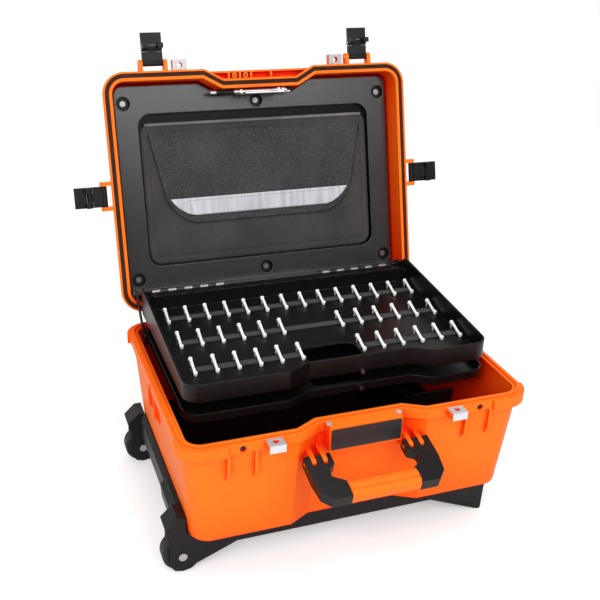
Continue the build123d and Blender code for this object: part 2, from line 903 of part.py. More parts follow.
for start_y, name in zip(rail_starts, ("front", "rear")):
    wheel_back = start_y + (rail_width + wheel_w) / 2
    with BuildPart() as tyre:
        with BuildSketch(front(wheel_back)):
            with Locations((wheel_x, wheel_r)):
                Circle(wheel_r)
                Circle(hub_r, mode=Mode.SUBTRACT)
        extrude(amount=wheel_w)
        fillet(edges().filter_by(GeomType.CIRCLE).group_by(SortBy.RADIUS)[-1], tyre_fillet)
    write(tyre, f"{name}_tyre")
    with BuildPart() as hub:
        with BuildSketch(front(wheel_back)):
            with Locations((wheel_x, wheel_r)):
                Circle(hub_r)
        extrude(amount=wheel_w)
        # Both faces are dished around the boss
        for face_y in (wheel_back, wheel_back - wheel_w + hub_recess):
            with BuildSketch(front(face_y)):
                with Locations((wheel_x, wheel_r)):
                    Circle(hub_r - hub_recess)
                    Circle(hub_boss_r, mode=Mode.SUBTRACT)
            extrude(amount=hub_recess, mode=Mode.SUBTRACT)
        with BuildSketch(front(wheel_back)):
            with Locations((wheel_x, wheel_r)):
                Circle(axle_r + axle_clearance)
        extrude(amount=wheel_w, mode=Mode.SUBTRACT)
    write(hub, f"{name}_hub")

with BuildPart() as axles:
    for start_y in rail_starts:
        with BuildSketch(front(start_y + rail_width)):
            with Locations((wheel_x, wheel_r)):
                Circle(axle_r)
        extrude(amount=rail_width)
        for head_y in (start_y, start_y + rail_width + axle_head_height):
            with BuildSketch(front(head_y)):
                with Locations((wheel_x, wheel_r)):
                    Circle(axle_head_r)
            extrude(amount=axle_head_height)
write(axles, "axles")

with BuildPart() as lid_hinge_pins:
    for x in (-hinge_x, hinge_x):
        with BuildSketch(side(x - knuckle_count * knuckle_length / 2)):
            with Locations((hinge_y, hinge_z)):
                Circle(hinge_pin_r)
        extrude(amount=knuckle_count * knuckle_length)
write(lid_hinge_pins, "lid_hinge_pins")

# Lid
boss_places = (
    [(x, screw_back_y) for x in (-screw_x, 0, screw_x)]
    + [(x, screw_front_y) for x in (-screw_x, screw_x)]
    + [(0, screw_middle_y)]
)
ear_outline = (
    (-2 * pin_clearance - 1, latch_gap),
    (ear_reach - ear_bevel, latch_gap),
    (ear_reach, latch_gap + ear_bevel),
    (ear_reach, ear_height - ear_bevel),
    (ear_reach - ear_bevel, ear_height),
    (-lid_body_inset - 2, ear_height),
    (-lid_body_inset - 2, lid_lip - 1),
    (-2 * pin_clearance - 1, lid_lip - 1),
)
with BuildPart() as lid_shell:
    with BuildSketch(lid_level(0)):
        case_outline(0, rim_radius)
    extrude(amount=lid_lip)
    with BuildSketch(lid_level(lid_lip)):
        plain_outline(lid_body_inset, rim_radius)
    with BuildSketch(lid_level(lid_depth)):
        plain_outline(lid_top_inset, rim_radius)
    loft(ruled=True)
    outward = lid_level(0).z_dir
    fillet(faces().sort_by(Axis((0, 0, 0), outward))[-1].edges(), lid_top_fillet)
    # Raised panel on the top
    with BuildSketch(lid_level(lid_depth)):
        plain_outline(lid_panel_inset, rim_radius / 2)
    extrude(amount=lid_panel_height)
    # Cavity
    with BuildSketch(lid_level(0)):
        case_outline(lid_rim_width, rim_radius - lid_rim_width)
    with BuildSketch(lid_level(cavity_top)):
        case_outline(lid_rim_width + lid_wall_draft, rim_radius - lid_rim_width - lid_wall_draft)
    loft(ruled=True, mode=Mode.SUBTRACT)
    # Pockets in the ledge in front of the set-back, with ribs left between them
    ledge_ends = [-step_outer_w, *ledge_rib_x, step_outer_w]
    ledge_front = rim_front_y + lid_body_inset + ledge_skin
    ledge_back = rim_front_y + step_depth - ledge_skin / 2
    with BuildSketch(lid_level(lid_lip)):
        for left, right in zip(ledge_ends, ledge_ends[1:]):
            with Locations(((left + right) / 2, (ledge_front + ledge_back) / 2)):
                Rectangle(right - left - ledge_rib, ledge_back - ledge_front)
    extrude(amount=ledge_depth, mode=Mode.SUBTRACT)
    boss_xs = [(a + b) / 2 for a, b in zip(ledge_rib_x[:2], ledge_rib_x[1:3])]
    with BuildSketch(lid_level(lid_lip)):
        with Locations(*[(x, (ledge_front + ledge_back) / 2) for x in boss_xs]):
            Circle(ledge_boss_r)
            Circle(ledge_boss_hole_r, mode=Mode.SUBTRACT)
    extrude(amount=ledge_depth)
    # Bosses for the panel screws
    with BuildSketch(lid_level(cup_floor + cup_wall)):
        with Locations(*boss_places):
            Circle(screw_boss_r)
            Circle(screw_shank_r, mode=Mode.SUBTRACT)
    extrude(amount=cavity_top - cup_floor - cup_wall)
    # Latch ears, with the pin bore through both
    for index in range(len(latch_names)):
        for across in (-bay_half_w - ear_thickness, bay_half_w):
            with BuildSketch(latch_plane(index, across)):
                Polygon(*ear_outline, align=None)
                with Locations((latch_pivot_out, latch_pivot_up)):
                    Circle(latch_pin_r, mode=Mode.SUBTRACT)
            extrude(amount=ear_thickness)
    # Padlock tabs
    with BuildSketch(lid_level(plate_thickness)):
        with Locations((-tab_x, rim_front_y - tab_reach / 2), (tab_x, rim_front_y - tab_reach / 2)):
            Rectangle(2 * tab_half_w, tab_reach)
        with Locations((-tab_x, rim_front_y), (tab_x, rim_front_y)):
            Rectangle(2 * tab_half_w, 2 * lid_body_inset + 2)
    extrude(amount=tab_thickness)
    with BuildSketch(lid_level(0)):
        with Locations(*tab_places):
            Circle(padlock_hole_r)
    extrude(amount=tab_thickness + plate_thickness, mode=Mode.SUBTRACT)
    # Hinge knuckles and their bore
    for x in knuckle_starts(1):
        with BuildSketch(lid_side(x)):
            Polygon(
                (rim_back_y - knuckle_root, 0),
                (hinge_y, 0),
                (hinge_y, knuckle_r),
                (rim_back_y, knuckle_arm_drop + 2),
                (rim_back_y - knuckle_root, knuckle_arm_drop + 2),
                align=None,
            )
            with Locations((hinge_y, 0)):
                Circle(knuckle_r)
        extrude(amount=knuckle_length - knuckle_gap)
    with BuildSketch(lid_side(-rim_half_w)):
        with Locations((hinge_y, 0)):
            Circle(hinge_pin_r + pin_clearance)
    extrude(amount=2 * rim_half_w, mode=Mode.SUBTRACT)
    # Groove for the gasket
    extrude(groove_ring, amount=groove_depth, mode=Mode.SUBTRACT)
write(lid_shell, "lid_shell")

with BuildPart() as lid_gasket:
    extrude(gasket_ring, amount=groove_depth - gasket_seat)
write(lid_gasket, "lid_gasket")

with BuildPart() as lid_padlock_plates:
    with BuildSketch(lid_level(0)):
        with Locations((-tab_x, rim_front_y - tab_reach / 2), (tab_x, rim_front_y - tab_reach / 2)):
            Rectangle(2 * tab_half_w, tab_reach - 2 * pin_clearance)
        with Locations(*tab_places):
            Circle(padlock_hole_r, mode=Mode.SUBTRACT)
    extrude(amount=plate_thickness)
write(lid_padlock_plates, "lid_padlock_plates")

# Panel: a sheet with a recess for the pocket, six screw cups and the shelf of the tray hinge
with BuildPart() as lid_panel:
    with BuildSketch(lid_level(panel_face)):
        case_outline(panel_inset, panel_radius)
        with Locations((0, shelf_back_y + rim_back_y / 2)):
            Rectangle(2 * rim_half_w, rim_back_y, mode=Mode.SUBTRACT)
    extrude(amount=panel_sheet)
    with BuildSketch(lid_level(panel_face)):
        with Locations((0, (recess_front_y + recess_back_y) / 2)):
            RectangleRounded(
                2 * recess_half_w + 2 * panel_sheet,
                recess_back_y - recess_front_y + 2 * panel_sheet,
                recess_radius + panel_sheet,
            )
    extrude(amount=recess_depth + panel_sheet)
    with BuildSketch(lid_level(panel_face)):
        with Locations(*boss_places):
            Circle(cup_r)
    extrude(amount=cup_depth + cup_wall)
    # Shelf, and the two lugs that carry the ears of the lower tray
    ear_start = tray_ear_r + tray_ear_gap
    for half_w, start in ((tray_ear_x - tray_ear_gap, shelf_start), (panel_lug_x, ear_start)):
        with BuildSketch(lid_level(axis_height + start)):
            with Locations((0, shelf_y + shelf_thickness / 2)):
                Rectangle(2 * half_w, shelf_thickness)
        extrude(amount=panel_face + panel_sheet - axis_height - start)
    for x in (-panel_lug_x, panel_lug_x - panel_lug_thickness):
        with BuildSketch(lid_side(x)):
            with Locations((axis_y, axis_height)):
                Circle(tray_ear_r)
            Polygon(
                (axis_y - tray_ear_r, axis_height),
                (shelf_back_y, axis_height),
                (shelf_back_y, panel_face),
                (shelf_y, panel_face),
                (axis_y - tray_ear_r, axis_height + 3 * tray_ear_r),
                align=None,
            )
        extrude(amount=panel_lug_thickness)
    # Hollow of the recess, the cups, the screw holes and the pin bores
    with BuildSketch(lid_level(panel_face)):
        with Locations((0, (recess_front_y + recess_back_y) / 2)):
            RectangleRounded(2 * recess_half_w, recess_back_y - recess_front_y, recess_radius)
    extrude(amount=recess_depth, mode=Mode.SUBTRACT)
    with BuildSketch(lid_level(panel_face)):
        with Locations(*boss_places):
            Circle(cup_r - cup_wall)
    extrude(amount=cup_depth, mode=Mode.SUBTRACT)
    with BuildSketch(lid_level(cup_floor)):
        with Locations(*boss_places):
            Circle(screw_shank_r)
    extrude(amount=cup_wall, mode=Mode.SUBTRACT)
    with BuildSketch(lid_side(-rim_half_w)):
        with Locations((axis_y, axis_height)):
            Circle(tray_pin_r)
    extrude(amount=2 * rim_half_w, mode=Mode.SUBTRACT)
write(lid_panel, "lid_panel")

with BuildPart() as panel_washers:
    with BuildSketch(lid_level(cup_floor - washer_thickness)):
        with Locations(*boss_places):
            Circle(washer_r)
            Circle(screw_shank_r, mode=Mode.SUBTRACT)
    extrude(amount=washer_thickness)
write(panel_washers, "panel_washers")

with BuildPart() as panel_screws:
    with BuildSketch(lid_level(cup_floor - washer_thickness - screw_head_height)):
        with Locations(*boss_places):
            Circle(screw_head_r)
    extrude(amount=screw_head_height)
    with BuildSketch(lid_level(cup_floor - washer_thickness - screw_head_height)):
        with Locations(*boss_places):
            Circle(screw_shank_r)
    extrude(amount=screw_length)
write(panel_screws, "panel_screws")

# Document pocket: a thin pouch, its flap and a stripe on the flap
with BuildPart() as pocket_pouch:
    with BuildSketch(lid_level(recess_floor - pocket_gap - pouch_thickness)):
        with Locations((0, (pouch_front_y + pouch_back_y) / 2)):
            RectangleRounded(2 * pouch_half_w, pouch_back_y - pouch_front_y, pouch_radius)
    extrude(amount=pouch_thickness)
write(pocket_pouch, "pocket_pouch")

flap_face = recess_floor - pocket_gap - pouch_thickness - flap_gap - flap_thickness
with BuildPart() as pocket_flap:
    with BuildSketch(lid_level(flap_face)):
        Polygon(*flap_outline, align=None)
        fillet(vertices(), flap_radius / 2)
    extrude(amount=flap_thickness)
write(pocket_flap, "pocket_flap")

with BuildPart() as pocket_stripe:
    with BuildSketch(lid_level(flap_face - stripe_thickness)):
        Polygon(
            (-stripe_half_w, stripe_front_y),
            (stripe_half_w, stripe_front_y),
            (stripe_half_w - stripe_end_slant, stripe_back_y),
            (-stripe_half_w + stripe_end_slant, stripe_back_y),
            align=None,
        )
    extrude(amount=stripe_thickness)
write(pocket_stripe, "pocket_stripe")

# Tray catch
with BuildPart() as catch_bracket:
    with BuildSketch(lid_level(-catch_reach)):
        with Locations(((catch_left_x + catch_right_x) / 2, catch_plate_y + catch_plate_thickness / 2)):
            Rectangle(catch_right_x - catch_left_x, catch_plate_thickness)
    extrude(amount=catch_reach + panel_face)
    with BuildSketch(lid_level(panel_face - catch_flange_thickness)):
        with Locations(
            ((catch_left_x + catch_right_x) / 2, (catch_flange_front_y + catch_plate_y) / 2)
        ):
            Rectangle(catch_right_x - catch_left_x, catch_plate_y - catch_flange_front_y)
    extrude(amount=catch_flange_thickness)
    # Ears with the bore for the bolt
    for x in (catch_left_x, catch_right_x - catch_ear):
        with BuildSketch(lid_side(x)):
            with Locations(((catch_flange_front_y + catch_plate_y) / 2, bolt_height)):
                Rectangle(catch_plate_y - catch_flange_front_y, 2 * catch_ear_half)
        extrude(amount=catch_ear)
    with BuildSketch(lid_side(catch_left_x)):
        with Locations((bolt_y, bolt_height)):
            Circle(bolt_r + bolt_clearance)
    extrude(amount=catch_right_x - catch_left_x, mode=Mode.SUBTRACT)
    # Slot that takes the stud of the folded upper tray
    with BuildSketch(lid_level(-catch_reach)):
        with Locations((stud_x, catch_plate_y)):
            Rectangle(catch_slot_w, 4 * catch_plate_thickness)
    extrude(amount=catch_slot_depth, mode=Mode.SUBTRACT)
write(catch_bracket, "catch_bracket")

# The bolt carries a finger that slides under the stud to lock it
with BuildPart() as catch_bolt:
    with BuildSketch(lid_side(bolt_left_x)):
        with Locations((bolt_y, bolt_height)):
            Circle(bolt_r)
    extrude(amount=bolt_right_x - bolt_left_x)
    with BuildSketch(lid_side(finger_x - finger_w / 2)):
        Polygon(
            (bolt_y - finger_thickness, bolt_height),
            (bolt_y, bolt_height),
            (bolt_y, finger_toe - catch_reach),
            (catch_plate_y - pocket_gap, finger_toe - catch_reach - 1),
            (catch_plate_y - pocket_gap, -catch_reach - 1),
            (bolt_y - finger_thickness, -catch_reach - 1),
            align=None,
        )
    extrude(amount=finger_w)
write(catch_bolt, "catch_bolt")

with BuildPart() as catch_sleeve:
    with BuildSketch(lid_side(sleeve_left_x)):
        with Locations((bolt_y, bolt_height)):
            Circle(sleeve_r)
            Circle(bolt_r, mode=Mode.SUBTRACT)
    extrude(amount=sleeve_length)
write(catch_sleeve, "catch_sleeve")

with BuildPart() as catch_knob:
    with BuildSketch(lid_side(bolt_right_x)):
        with Locations((bolt_y, bolt_height)):
            Circle(sleeve_r)
    extrude(amount=knob_length)
    fillet(faces().sort_by(Axis.X)[-1].edges(), sleeve_r / 3)
write(catch_knob, "catch_knob")

# Latches
link_pin_out = latch_pivot_out + link_length
lever_tip_out = link_pin_out + lever_length
knuckle_w = (latch_w - latch_middle_w) / 2 - latch_gap
lever_knuckle_starts = (-latch_w / 2, latch_w / 2 - knuckle_w)
plate_bottom = latch_pivot_up - latch_plate / 2
with BuildPart() as latch_ear_pins:
    pin_half = bay_half_w + ear_thickness
    for index in range(len(latch_names)):
        with BuildSketch(latch_plane(index, -pin_half)):
            with Locations((latch_pivot_out, latch_pivot_up)):
                Circle(latch_pin_r)
        extrude(amount=2 * pin_half)
write(latch_ear_pins, "latch_ear_pins")

for index, place in enumerate(latch_names):
    with BuildPart() as latch_link:
        with BuildSketch(latch_plane(index, -latch_w / 2)):
            with Locations((latch_pivot_out, latch_pivot_up)):
                Circle(latch_barrel_r)
            with Locations((latch_pivot_out, plate_bottom)):
                Rectangle(
                    link_length - latch_barrel_r - latch_gap, latch_plate, align=(Align.MIN, Align.MIN)
                )
        extrude(amount=latch_w)
        with BuildSketch(latch_plane(index, -latch_middle_w / 2)):
            with Locations((link_pin_out, latch_pivot_up)):
                Circle(latch_barrel_r)
            with Locations((latch_pivot_out, plate_bottom)):
                Rectangle(link_length, latch_plate, align=(Align.MIN, Align.MIN))
        extrude(amount=latch_middle_w)
        with BuildSketch(latch_plane(index, -latch_w / 2)):
            with Locations((latch_pivot_out, latch_pivot_up)):
                Circle(latch_pin_r + pin_clearance)
            with Locations((link_pin_out, latch_pivot_up)):
                Circle(latch_pin_r)
        extrude(amount=latch_w, mode=Mode.SUBTRACT)
    write(latch_link, f"latch_link_{place}")

    with BuildPart() as latch_lever:
        lever_start = link_pin_out + latch_barrel_r + latch_gap
        with BuildSketch(latch_plane(index, -latch_w / 2)):
            with Locations((lever_start, plate_bottom)):
                Rectangle(lever_tip_out - lever_start, latch_plate, align=(Align.MIN, Align.MIN))
        extrude(amount=latch_w)
        # Side knuckles, each with the nib that hooks under the band of the base
        for start in lever_knuckle_starts:
            with BuildSketch(latch_plane(index, start)):
                with Locations((link_pin_out, latch_pivot_up)):
                    Circle(latch_barrel_r)
                with Locations((link_pin_out, plate_bottom)):
                    Rectangle(lever_length, latch_plate, align=(Align.MIN, Align.MIN))
                with Locations((link_pin_out - latch_gap, latch_pivot_up - nib_reach)):
                    Rectangle(nib_length, nib_reach, align=(Align.MIN, Align.MIN))
                with Locations((link_pin_out, latch_pivot_up)):
                    Circle(latch_pin_r + pin_clearance, mode=Mode.SUBTRACT)
            extrude(amount=knuckle_w)
    write(latch_lever, f"latch_lever_{place}")

    with BuildPart() as latch_pin:
        with BuildSketch(latch_plane(index, -latch_w / 2)):
            with Locations((link_pin_out, latch_pivot_up)):
                Circle(latch_pin_r)
        extrude(amount=latch_w)
    write(latch_pin, f"latch_pin_{place}")


def tray_body(bottom_z, rim_top, stud_z, back_y, cavity_back_y):
    """An open tray with a handhold through its floor and a stud hole in its set-back wall."""
    with BuildPart() as body:
        with BuildSketch(level(bottom_z)):
            tray_outline(0, back_y)
        extrude(amount=rim_top - bottom_z)
        fillet(faces().sort_by(Axis.Z)[0].edges(), tray_bottom_fillet)
        with BuildSketch(level(bottom_z + tray_floor)):
            tray_outline(tray_wall, cavity_back_y + tray_wall)
        extrude(amount=rim_top - bottom_z - tray_floor, mode=Mode.SUBTRACT)
        fillet(faces().sort_by(Axis.Z)[-1].edges(), tray_rim_fillet)
        with BuildSketch(level(bottom_z)):
            with Locations(((hand_left_x + hand_right_x) / 2, (hand_front_y + hand_back_y) / 2)):
                RectangleRounded(hand_right_x - hand_left_x, hand_back_y - hand_front_y, hand_radius)
        extrude(amount=tray_floor, mode=Mode.SUBTRACT)
        with BuildSketch(front(tray_front_y + tray_step + tray_wall)):
            with Locations((stud_x, stud_z)):
                Circle(stud_shank_r)
        extrude(amount=tray_wall, mode=Mode.SUBTRACT)
    return body.part


def tray_stud(stud_z):
    """The stud of a tray, with its shank through the tray's wall."""
    with BuildPart() as stud:
        for reach, radius in ((stud_length, stud_r), (-tray_wall, stud_shank_r)):
            with BuildSketch(front(tray_front_y + tray_step)):
                with Locations((stud_x, stud_z)):
                    Circle(radius)
            extrude(amount=reach)
    return stud


# Upper tray
upper_body = tray_body(upper_bottom_z, upper_rim_z, upper_stud_z, upper_back_y, ledge_front_y)
with BuildSketch(level(ledge_top_z)) as outer_walls:
    tray_outline(0, upper_back_y)
with BuildSketch(level(ledge_top_z)) as inner_walls:
    tray_outline(tray_wall, upper_back_y)
# Side walls that rise from the front to a tip at each end of the ledge
with BuildPart() as tray_tips:
    add(outer_walls.sketch - inner_walls.sketch)
    extrude(amount=tip_top_z - ledge_top_z)
    with BuildSketch(level(ledge_top_z)):
        Rectangle(2 * tip_inner_x, 4 * tray_half_w)
        with Locations((0, tip_start_y)):
            Rectangle(2 * tray_half_w, 2 * tray_radius, align=(Align.CENTER, Align.MAX))
    extrude(amount=tip_top_z - ledge_top_z, mode=Mode.SUBTRACT)
    with BuildSketch(side(-tray_half_w)):
        Polygon(
            (tip_start_y, upper_rim_z),
            (tip_peak_y, tip_top_z),
            (upper_back_y, ledge_top_z),
            (upper_back_y, tip_top_z + 1),
            (tip_start_y, tip_top_z + 1),
            align=None,
        )
    extrude(amount=2 * tray_half_w, mode=Mode.SUBTRACT)
with BuildPart() as upper_tray:
    add(upper_body)
    # The ledge lies lower than the rim and is hollow from below
    with BuildSketch(level(ledge_top_z)):
        with Locations((0, ledge_front_y)):
            Rectangle(2 * tray_half_w, tray_half_w, align=(Align.CENTER, Align.MIN))
    extrude(amount=upper_rim_z - ledge_top_z, mode=Mode.SUBTRACT)
    with BuildSketch(level(upper_bottom_z)):
        tray_outline(tray_wall, upper_back_y)
        with Locations((0, ledge_front_y + tray_wall)):
            Rectangle(2 * tray_half_w, 2 * tray_half_w, align=(Align.CENTER, Align.MAX), mode=Mode.SUBTRACT)
    extrude(amount=ledge_hollow_top_z - upper_bottom_z, mode=Mode.SUBTRACT)
    add(tray_tips.part)
    # Rebate that the leaves of the tray lie in
    with BuildSketch(level(tray_axis_z - leaf_thickness / 2)):
        leaf_middle = (leaf_inner_x + leaf_outer_x) / 2
        rebate_depth = upper_back_y - tray_leaf_front_y + leaf_gap
        rebate_y = upper_back_y - rebate_depth / 2
        with Locations((-leaf_middle, rebate_y), (leaf_middle, rebate_y)):
            Rectangle(leaf_outer_x - leaf_inner_x + 4 * leaf_gap, rebate_depth)
    extrude(amount=tip_top_z - tray_axis_z, mode=Mode.SUBTRACT)
write(upper_tray, "upper_tray")

write(tray_stud(upper_stud_z), "upper_tray_stud")

with BuildPart() as tray_leaves:
    for x in (-leaf_outer_x, leaf_inner_x):
        with BuildSketch(side(x)):
            with Locations((tray_leaf_front_y, tray_axis_z - leaf_thickness / 2)):
                Rectangle(
                    tray_axis_y - leaf_knuckle_r - leaf_gap - tray_leaf_front_y,
                    leaf_thickness,
                    align=(Align.MIN, Align.MIN),
                )
        extrude(amount=leaf_outer_x - leaf_inner_x)
    leaf_knuckle_w = (leaf_outer_x - leaf_inner_x) / leaf_knuckles - 2 * leaf_gap
    for x in leaf_knuckle_starts(0):
        with BuildSketch(side(x)):
            with Locations((tray_leaf_front_y, tray_axis_z - leaf_thickness / 2)):
                Rectangle(tray_axis_y - tray_leaf_front_y, leaf_thickness, align=(Align.MIN, Align.MIN))
            with Locations((tray_axis_y, tray_axis_z)):
                Circle(leaf_knuckle_r)
                Circle(leaf_pin_r + pin_clearance, mode=Mode.SUBTRACT)
        extrude(amount=leaf_knuckle_w)
write(tray_leaves, "tray_leaves")

with BuildPart() as lid_leaves:
    leaf_top = axis_height + leaf_knuckle_r + leaf_gap
    for x in (-leaf_outer_x, leaf_inner_x):
        with BuildSketch(lid_side(x)):
            with Locations((shelf_y - leaf_thickness, leaf_top)):
                Rectangle(leaf_thickness, lid_leaf_depth - leaf_top, align=(Align.MIN, Align.MIN))
        extrude(amount=leaf_outer_x - leaf_inner_x)
    for x in leaf_knuckle_starts(1):
        with BuildSketch(lid_side(x)):
            with Locations((shelf_y - leaf_thickness, axis_height)):
                Rectangle(leaf_thickness, lid_leaf_depth - axis_height, align=(Align.MIN, Align.MIN))
            with Locations((axis_y, axis_height)):
                Circle(leaf_knuckle_r)
                Circle(leaf_pin_r + pin_clearance, mode=Mode.SUBTRACT)
        extrude(amount=leaf_knuckle_w)
write(lid_leaves, "lid_leaves")

with BuildPart() as tray_hinge_pins:
    for x in (-leaf_outer_x, leaf_inner_x):
        with BuildSketch(side(x)):
            with Locations((tray_axis_y, tray_axis_z)):
                Circle(leaf_pin_r)
        extrude(amount=leaf_outer_x - leaf_inner_x)
write(tray_hinge_pins, "tray_hinge_pins")

# Three elastic bands; the front one is in two lengths, beside the handhold
band_left_x = clip_middle_x - band_half_w
band_right_x = clip_middle_x + band_half_w
front_lengths = (
    (band_left_x, hand_left_x - band_hand_gap),
    (hand_right_x + band_hand_gap, band_right_x),
)
with BuildPart() as clip_bands:
    with BuildSketch(level(tray_floor_z)):
        for y in clip_rows[:2]:
            with Locations((clip_middle_x, y)):
                Rectangle(2 * band_half_w, band_width)
        for start, end in front_lengths:
            with Locations(((start + end) / 2, clip_rows[2])):
                Rectangle(end - start, band_width)
    extrude(amount=band_thickness)
write(clip_bands, "clip_bands")

# White clips: two posts joined by a round bar over the band
clip_places = [
    (clip_middle_x + (i - (clip_count - 1) / 2) * clip_pitch, y)
    for y in clip_rows
    for i in range(clip_count)
    if y == clip_rows[0] or i not in (clip_count / 2 - 1, clip_count / 2)
]
post_y = clip_length / 2 - clip_knob_r
with BuildPart() as tool_clips:
    with BuildSketch(level(tray_floor_z)):
        for x, y in clip_places:
            with Locations((x, y - post_y), (x, y + post_y)):
                Circle(clip_knob_r)
    extrude(amount=clip_height)
    for y in clip_rows:
        with BuildSketch(front(y + post_y)):
            with Locations(*[(x, tray_floor_z + clip_shaft_height) for x, row in clip_places if row == y]):
                Circle(clip_shaft_r)
        extrude(amount=2 * post_y)
write(tool_clips, "tool_clips")

# Lower tray, carried by two ears that reach back and up to the tray axis
ear_bottom_z = lower_bottom_z + 1
tray_ear_foot = (
    (lower_back_y - 41, ear_bottom_z),
    (lower_back_y - 9, ear_bottom_z),
    (lower_back_y - 3, lower_rim_z),
    (lower_back_y - 41, lower_rim_z),
)
tray_ear_outline = (
    (lower_back_y - 41, ear_bottom_z),
    (lower_back_y - 9, ear_bottom_z),
    (lower_back_y - 3, lower_rim_z),
    (lower_back_y + 7, lower_rim_z + 7),
    (tray_axis_y + 3.2, tray_axis_z - 5),
    (tray_axis_y - 5.8, tray_axis_z + 3.1),
    (lower_back_y - 16, lower_rim_z),
    (lower_back_y - 41, lower_rim_z),
)
lower_body = tray_body(
    lower_bottom_z, lower_rim_z, lower_stud_z, lower_back_y, lower_back_y - tray_wall
)
with BuildPart() as lower_tray:
    add(lower_body)
    for way in (-1, 1):
        start_x = tray_ear_x if way > 0 else -tray_ear_x - tray_ear_thickness
        with BuildSketch(side(start_x)):
            Polygon(*tray_ear_outline, align=None)
            with Locations((tray_axis_y, tray_axis_z)):
                Circle(tray_ear_r)
        extrude(amount=tray_ear_thickness)
        foot_x = tray_half_w - tray_wall if way > 0 else -tray_ear_x
        with BuildSketch(side(foot_x)):
            Polygon(*tray_ear_foot, align=None)
        extrude(amount=tray_ear_x - tray_half_w + tray_wall)
    with BuildSketch(side(-rim_half_w)):
        with Locations((tray_axis_y, tray_axis_z)):
            Circle(tray_pin_r)
    extrude(amount=2 * rim_half_w, mode=Mode.SUBTRACT)
write(lower_tray, "lower_tray")

write(tray_stud(lower_stud_z), "lower_tray_stud")

with BuildPart() as tray_ear_pins:
    for start_x in (-panel_lug_x, tray_ear_x):
        with BuildSketch(side(start_x)):
            with Locations((tray_axis_y, tray_axis_z)):
                Circle(tray_pin_r)
        extrude(amount=panel_lug_x - tray_ear_x)
write(tray_ear_pins, "tray_ear_pins")
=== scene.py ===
import json
from math import cos, exp, pi, radians, sin, sqrt

import bmesh
import bpy
from mathutils import Matrix, Vector, noise


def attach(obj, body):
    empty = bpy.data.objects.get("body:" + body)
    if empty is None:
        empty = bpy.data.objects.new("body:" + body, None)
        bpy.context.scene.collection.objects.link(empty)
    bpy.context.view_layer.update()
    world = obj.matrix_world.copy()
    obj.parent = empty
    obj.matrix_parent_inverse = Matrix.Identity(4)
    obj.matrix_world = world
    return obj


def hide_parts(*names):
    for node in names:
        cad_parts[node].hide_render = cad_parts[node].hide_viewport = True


# Wheeled tool case with its lid open. Metres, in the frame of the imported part.

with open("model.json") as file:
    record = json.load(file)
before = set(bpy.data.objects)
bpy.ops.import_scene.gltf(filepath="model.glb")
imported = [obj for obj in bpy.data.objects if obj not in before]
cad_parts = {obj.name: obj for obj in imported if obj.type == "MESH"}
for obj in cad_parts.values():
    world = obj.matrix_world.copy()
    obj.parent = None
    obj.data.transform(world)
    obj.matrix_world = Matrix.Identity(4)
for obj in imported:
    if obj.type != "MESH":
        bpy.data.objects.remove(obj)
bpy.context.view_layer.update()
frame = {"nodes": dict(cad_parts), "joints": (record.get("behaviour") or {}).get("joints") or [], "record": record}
nodes = frame["nodes"]
joints = {joint["name"]: joint for joint in frame["joints"]}

MM = 0.001

# Places that the scene shares with the part
CASE_Y = -48.8 * MM
LID_ANGLE = radians(105)
LID_HINGE = Vector(joints["lid_hinge"]["pos_m"])
TO_LID = Matrix.Translation(LID_HINGE) @ Matrix.Rotation(-LID_ANGLE, 4, "X")
HINGE_CASE_Y = LID_HINGE.y - CASE_Y
LID_INWARD = TO_LID.to_3x3() @ Vector((0, 0, 1))
PANEL_FACE = 36 * MM
TRAY_AXIS = joints["upper_tray_hinge"]["pos_m"]

# The camera that shows the case as photographed
CAMERA_PLACE = Vector((-0.488547, -1.196228 + CASE_Y, 0.943071))
CAMERA_YAW = radians(20.862)
CAMERA_PITCH = radians(25.005)
CAMERA_ROLL = radians(2.022)
CAMERA_LENS = 54.772
CAMERA_SENSOR = 36.0


# Node trees

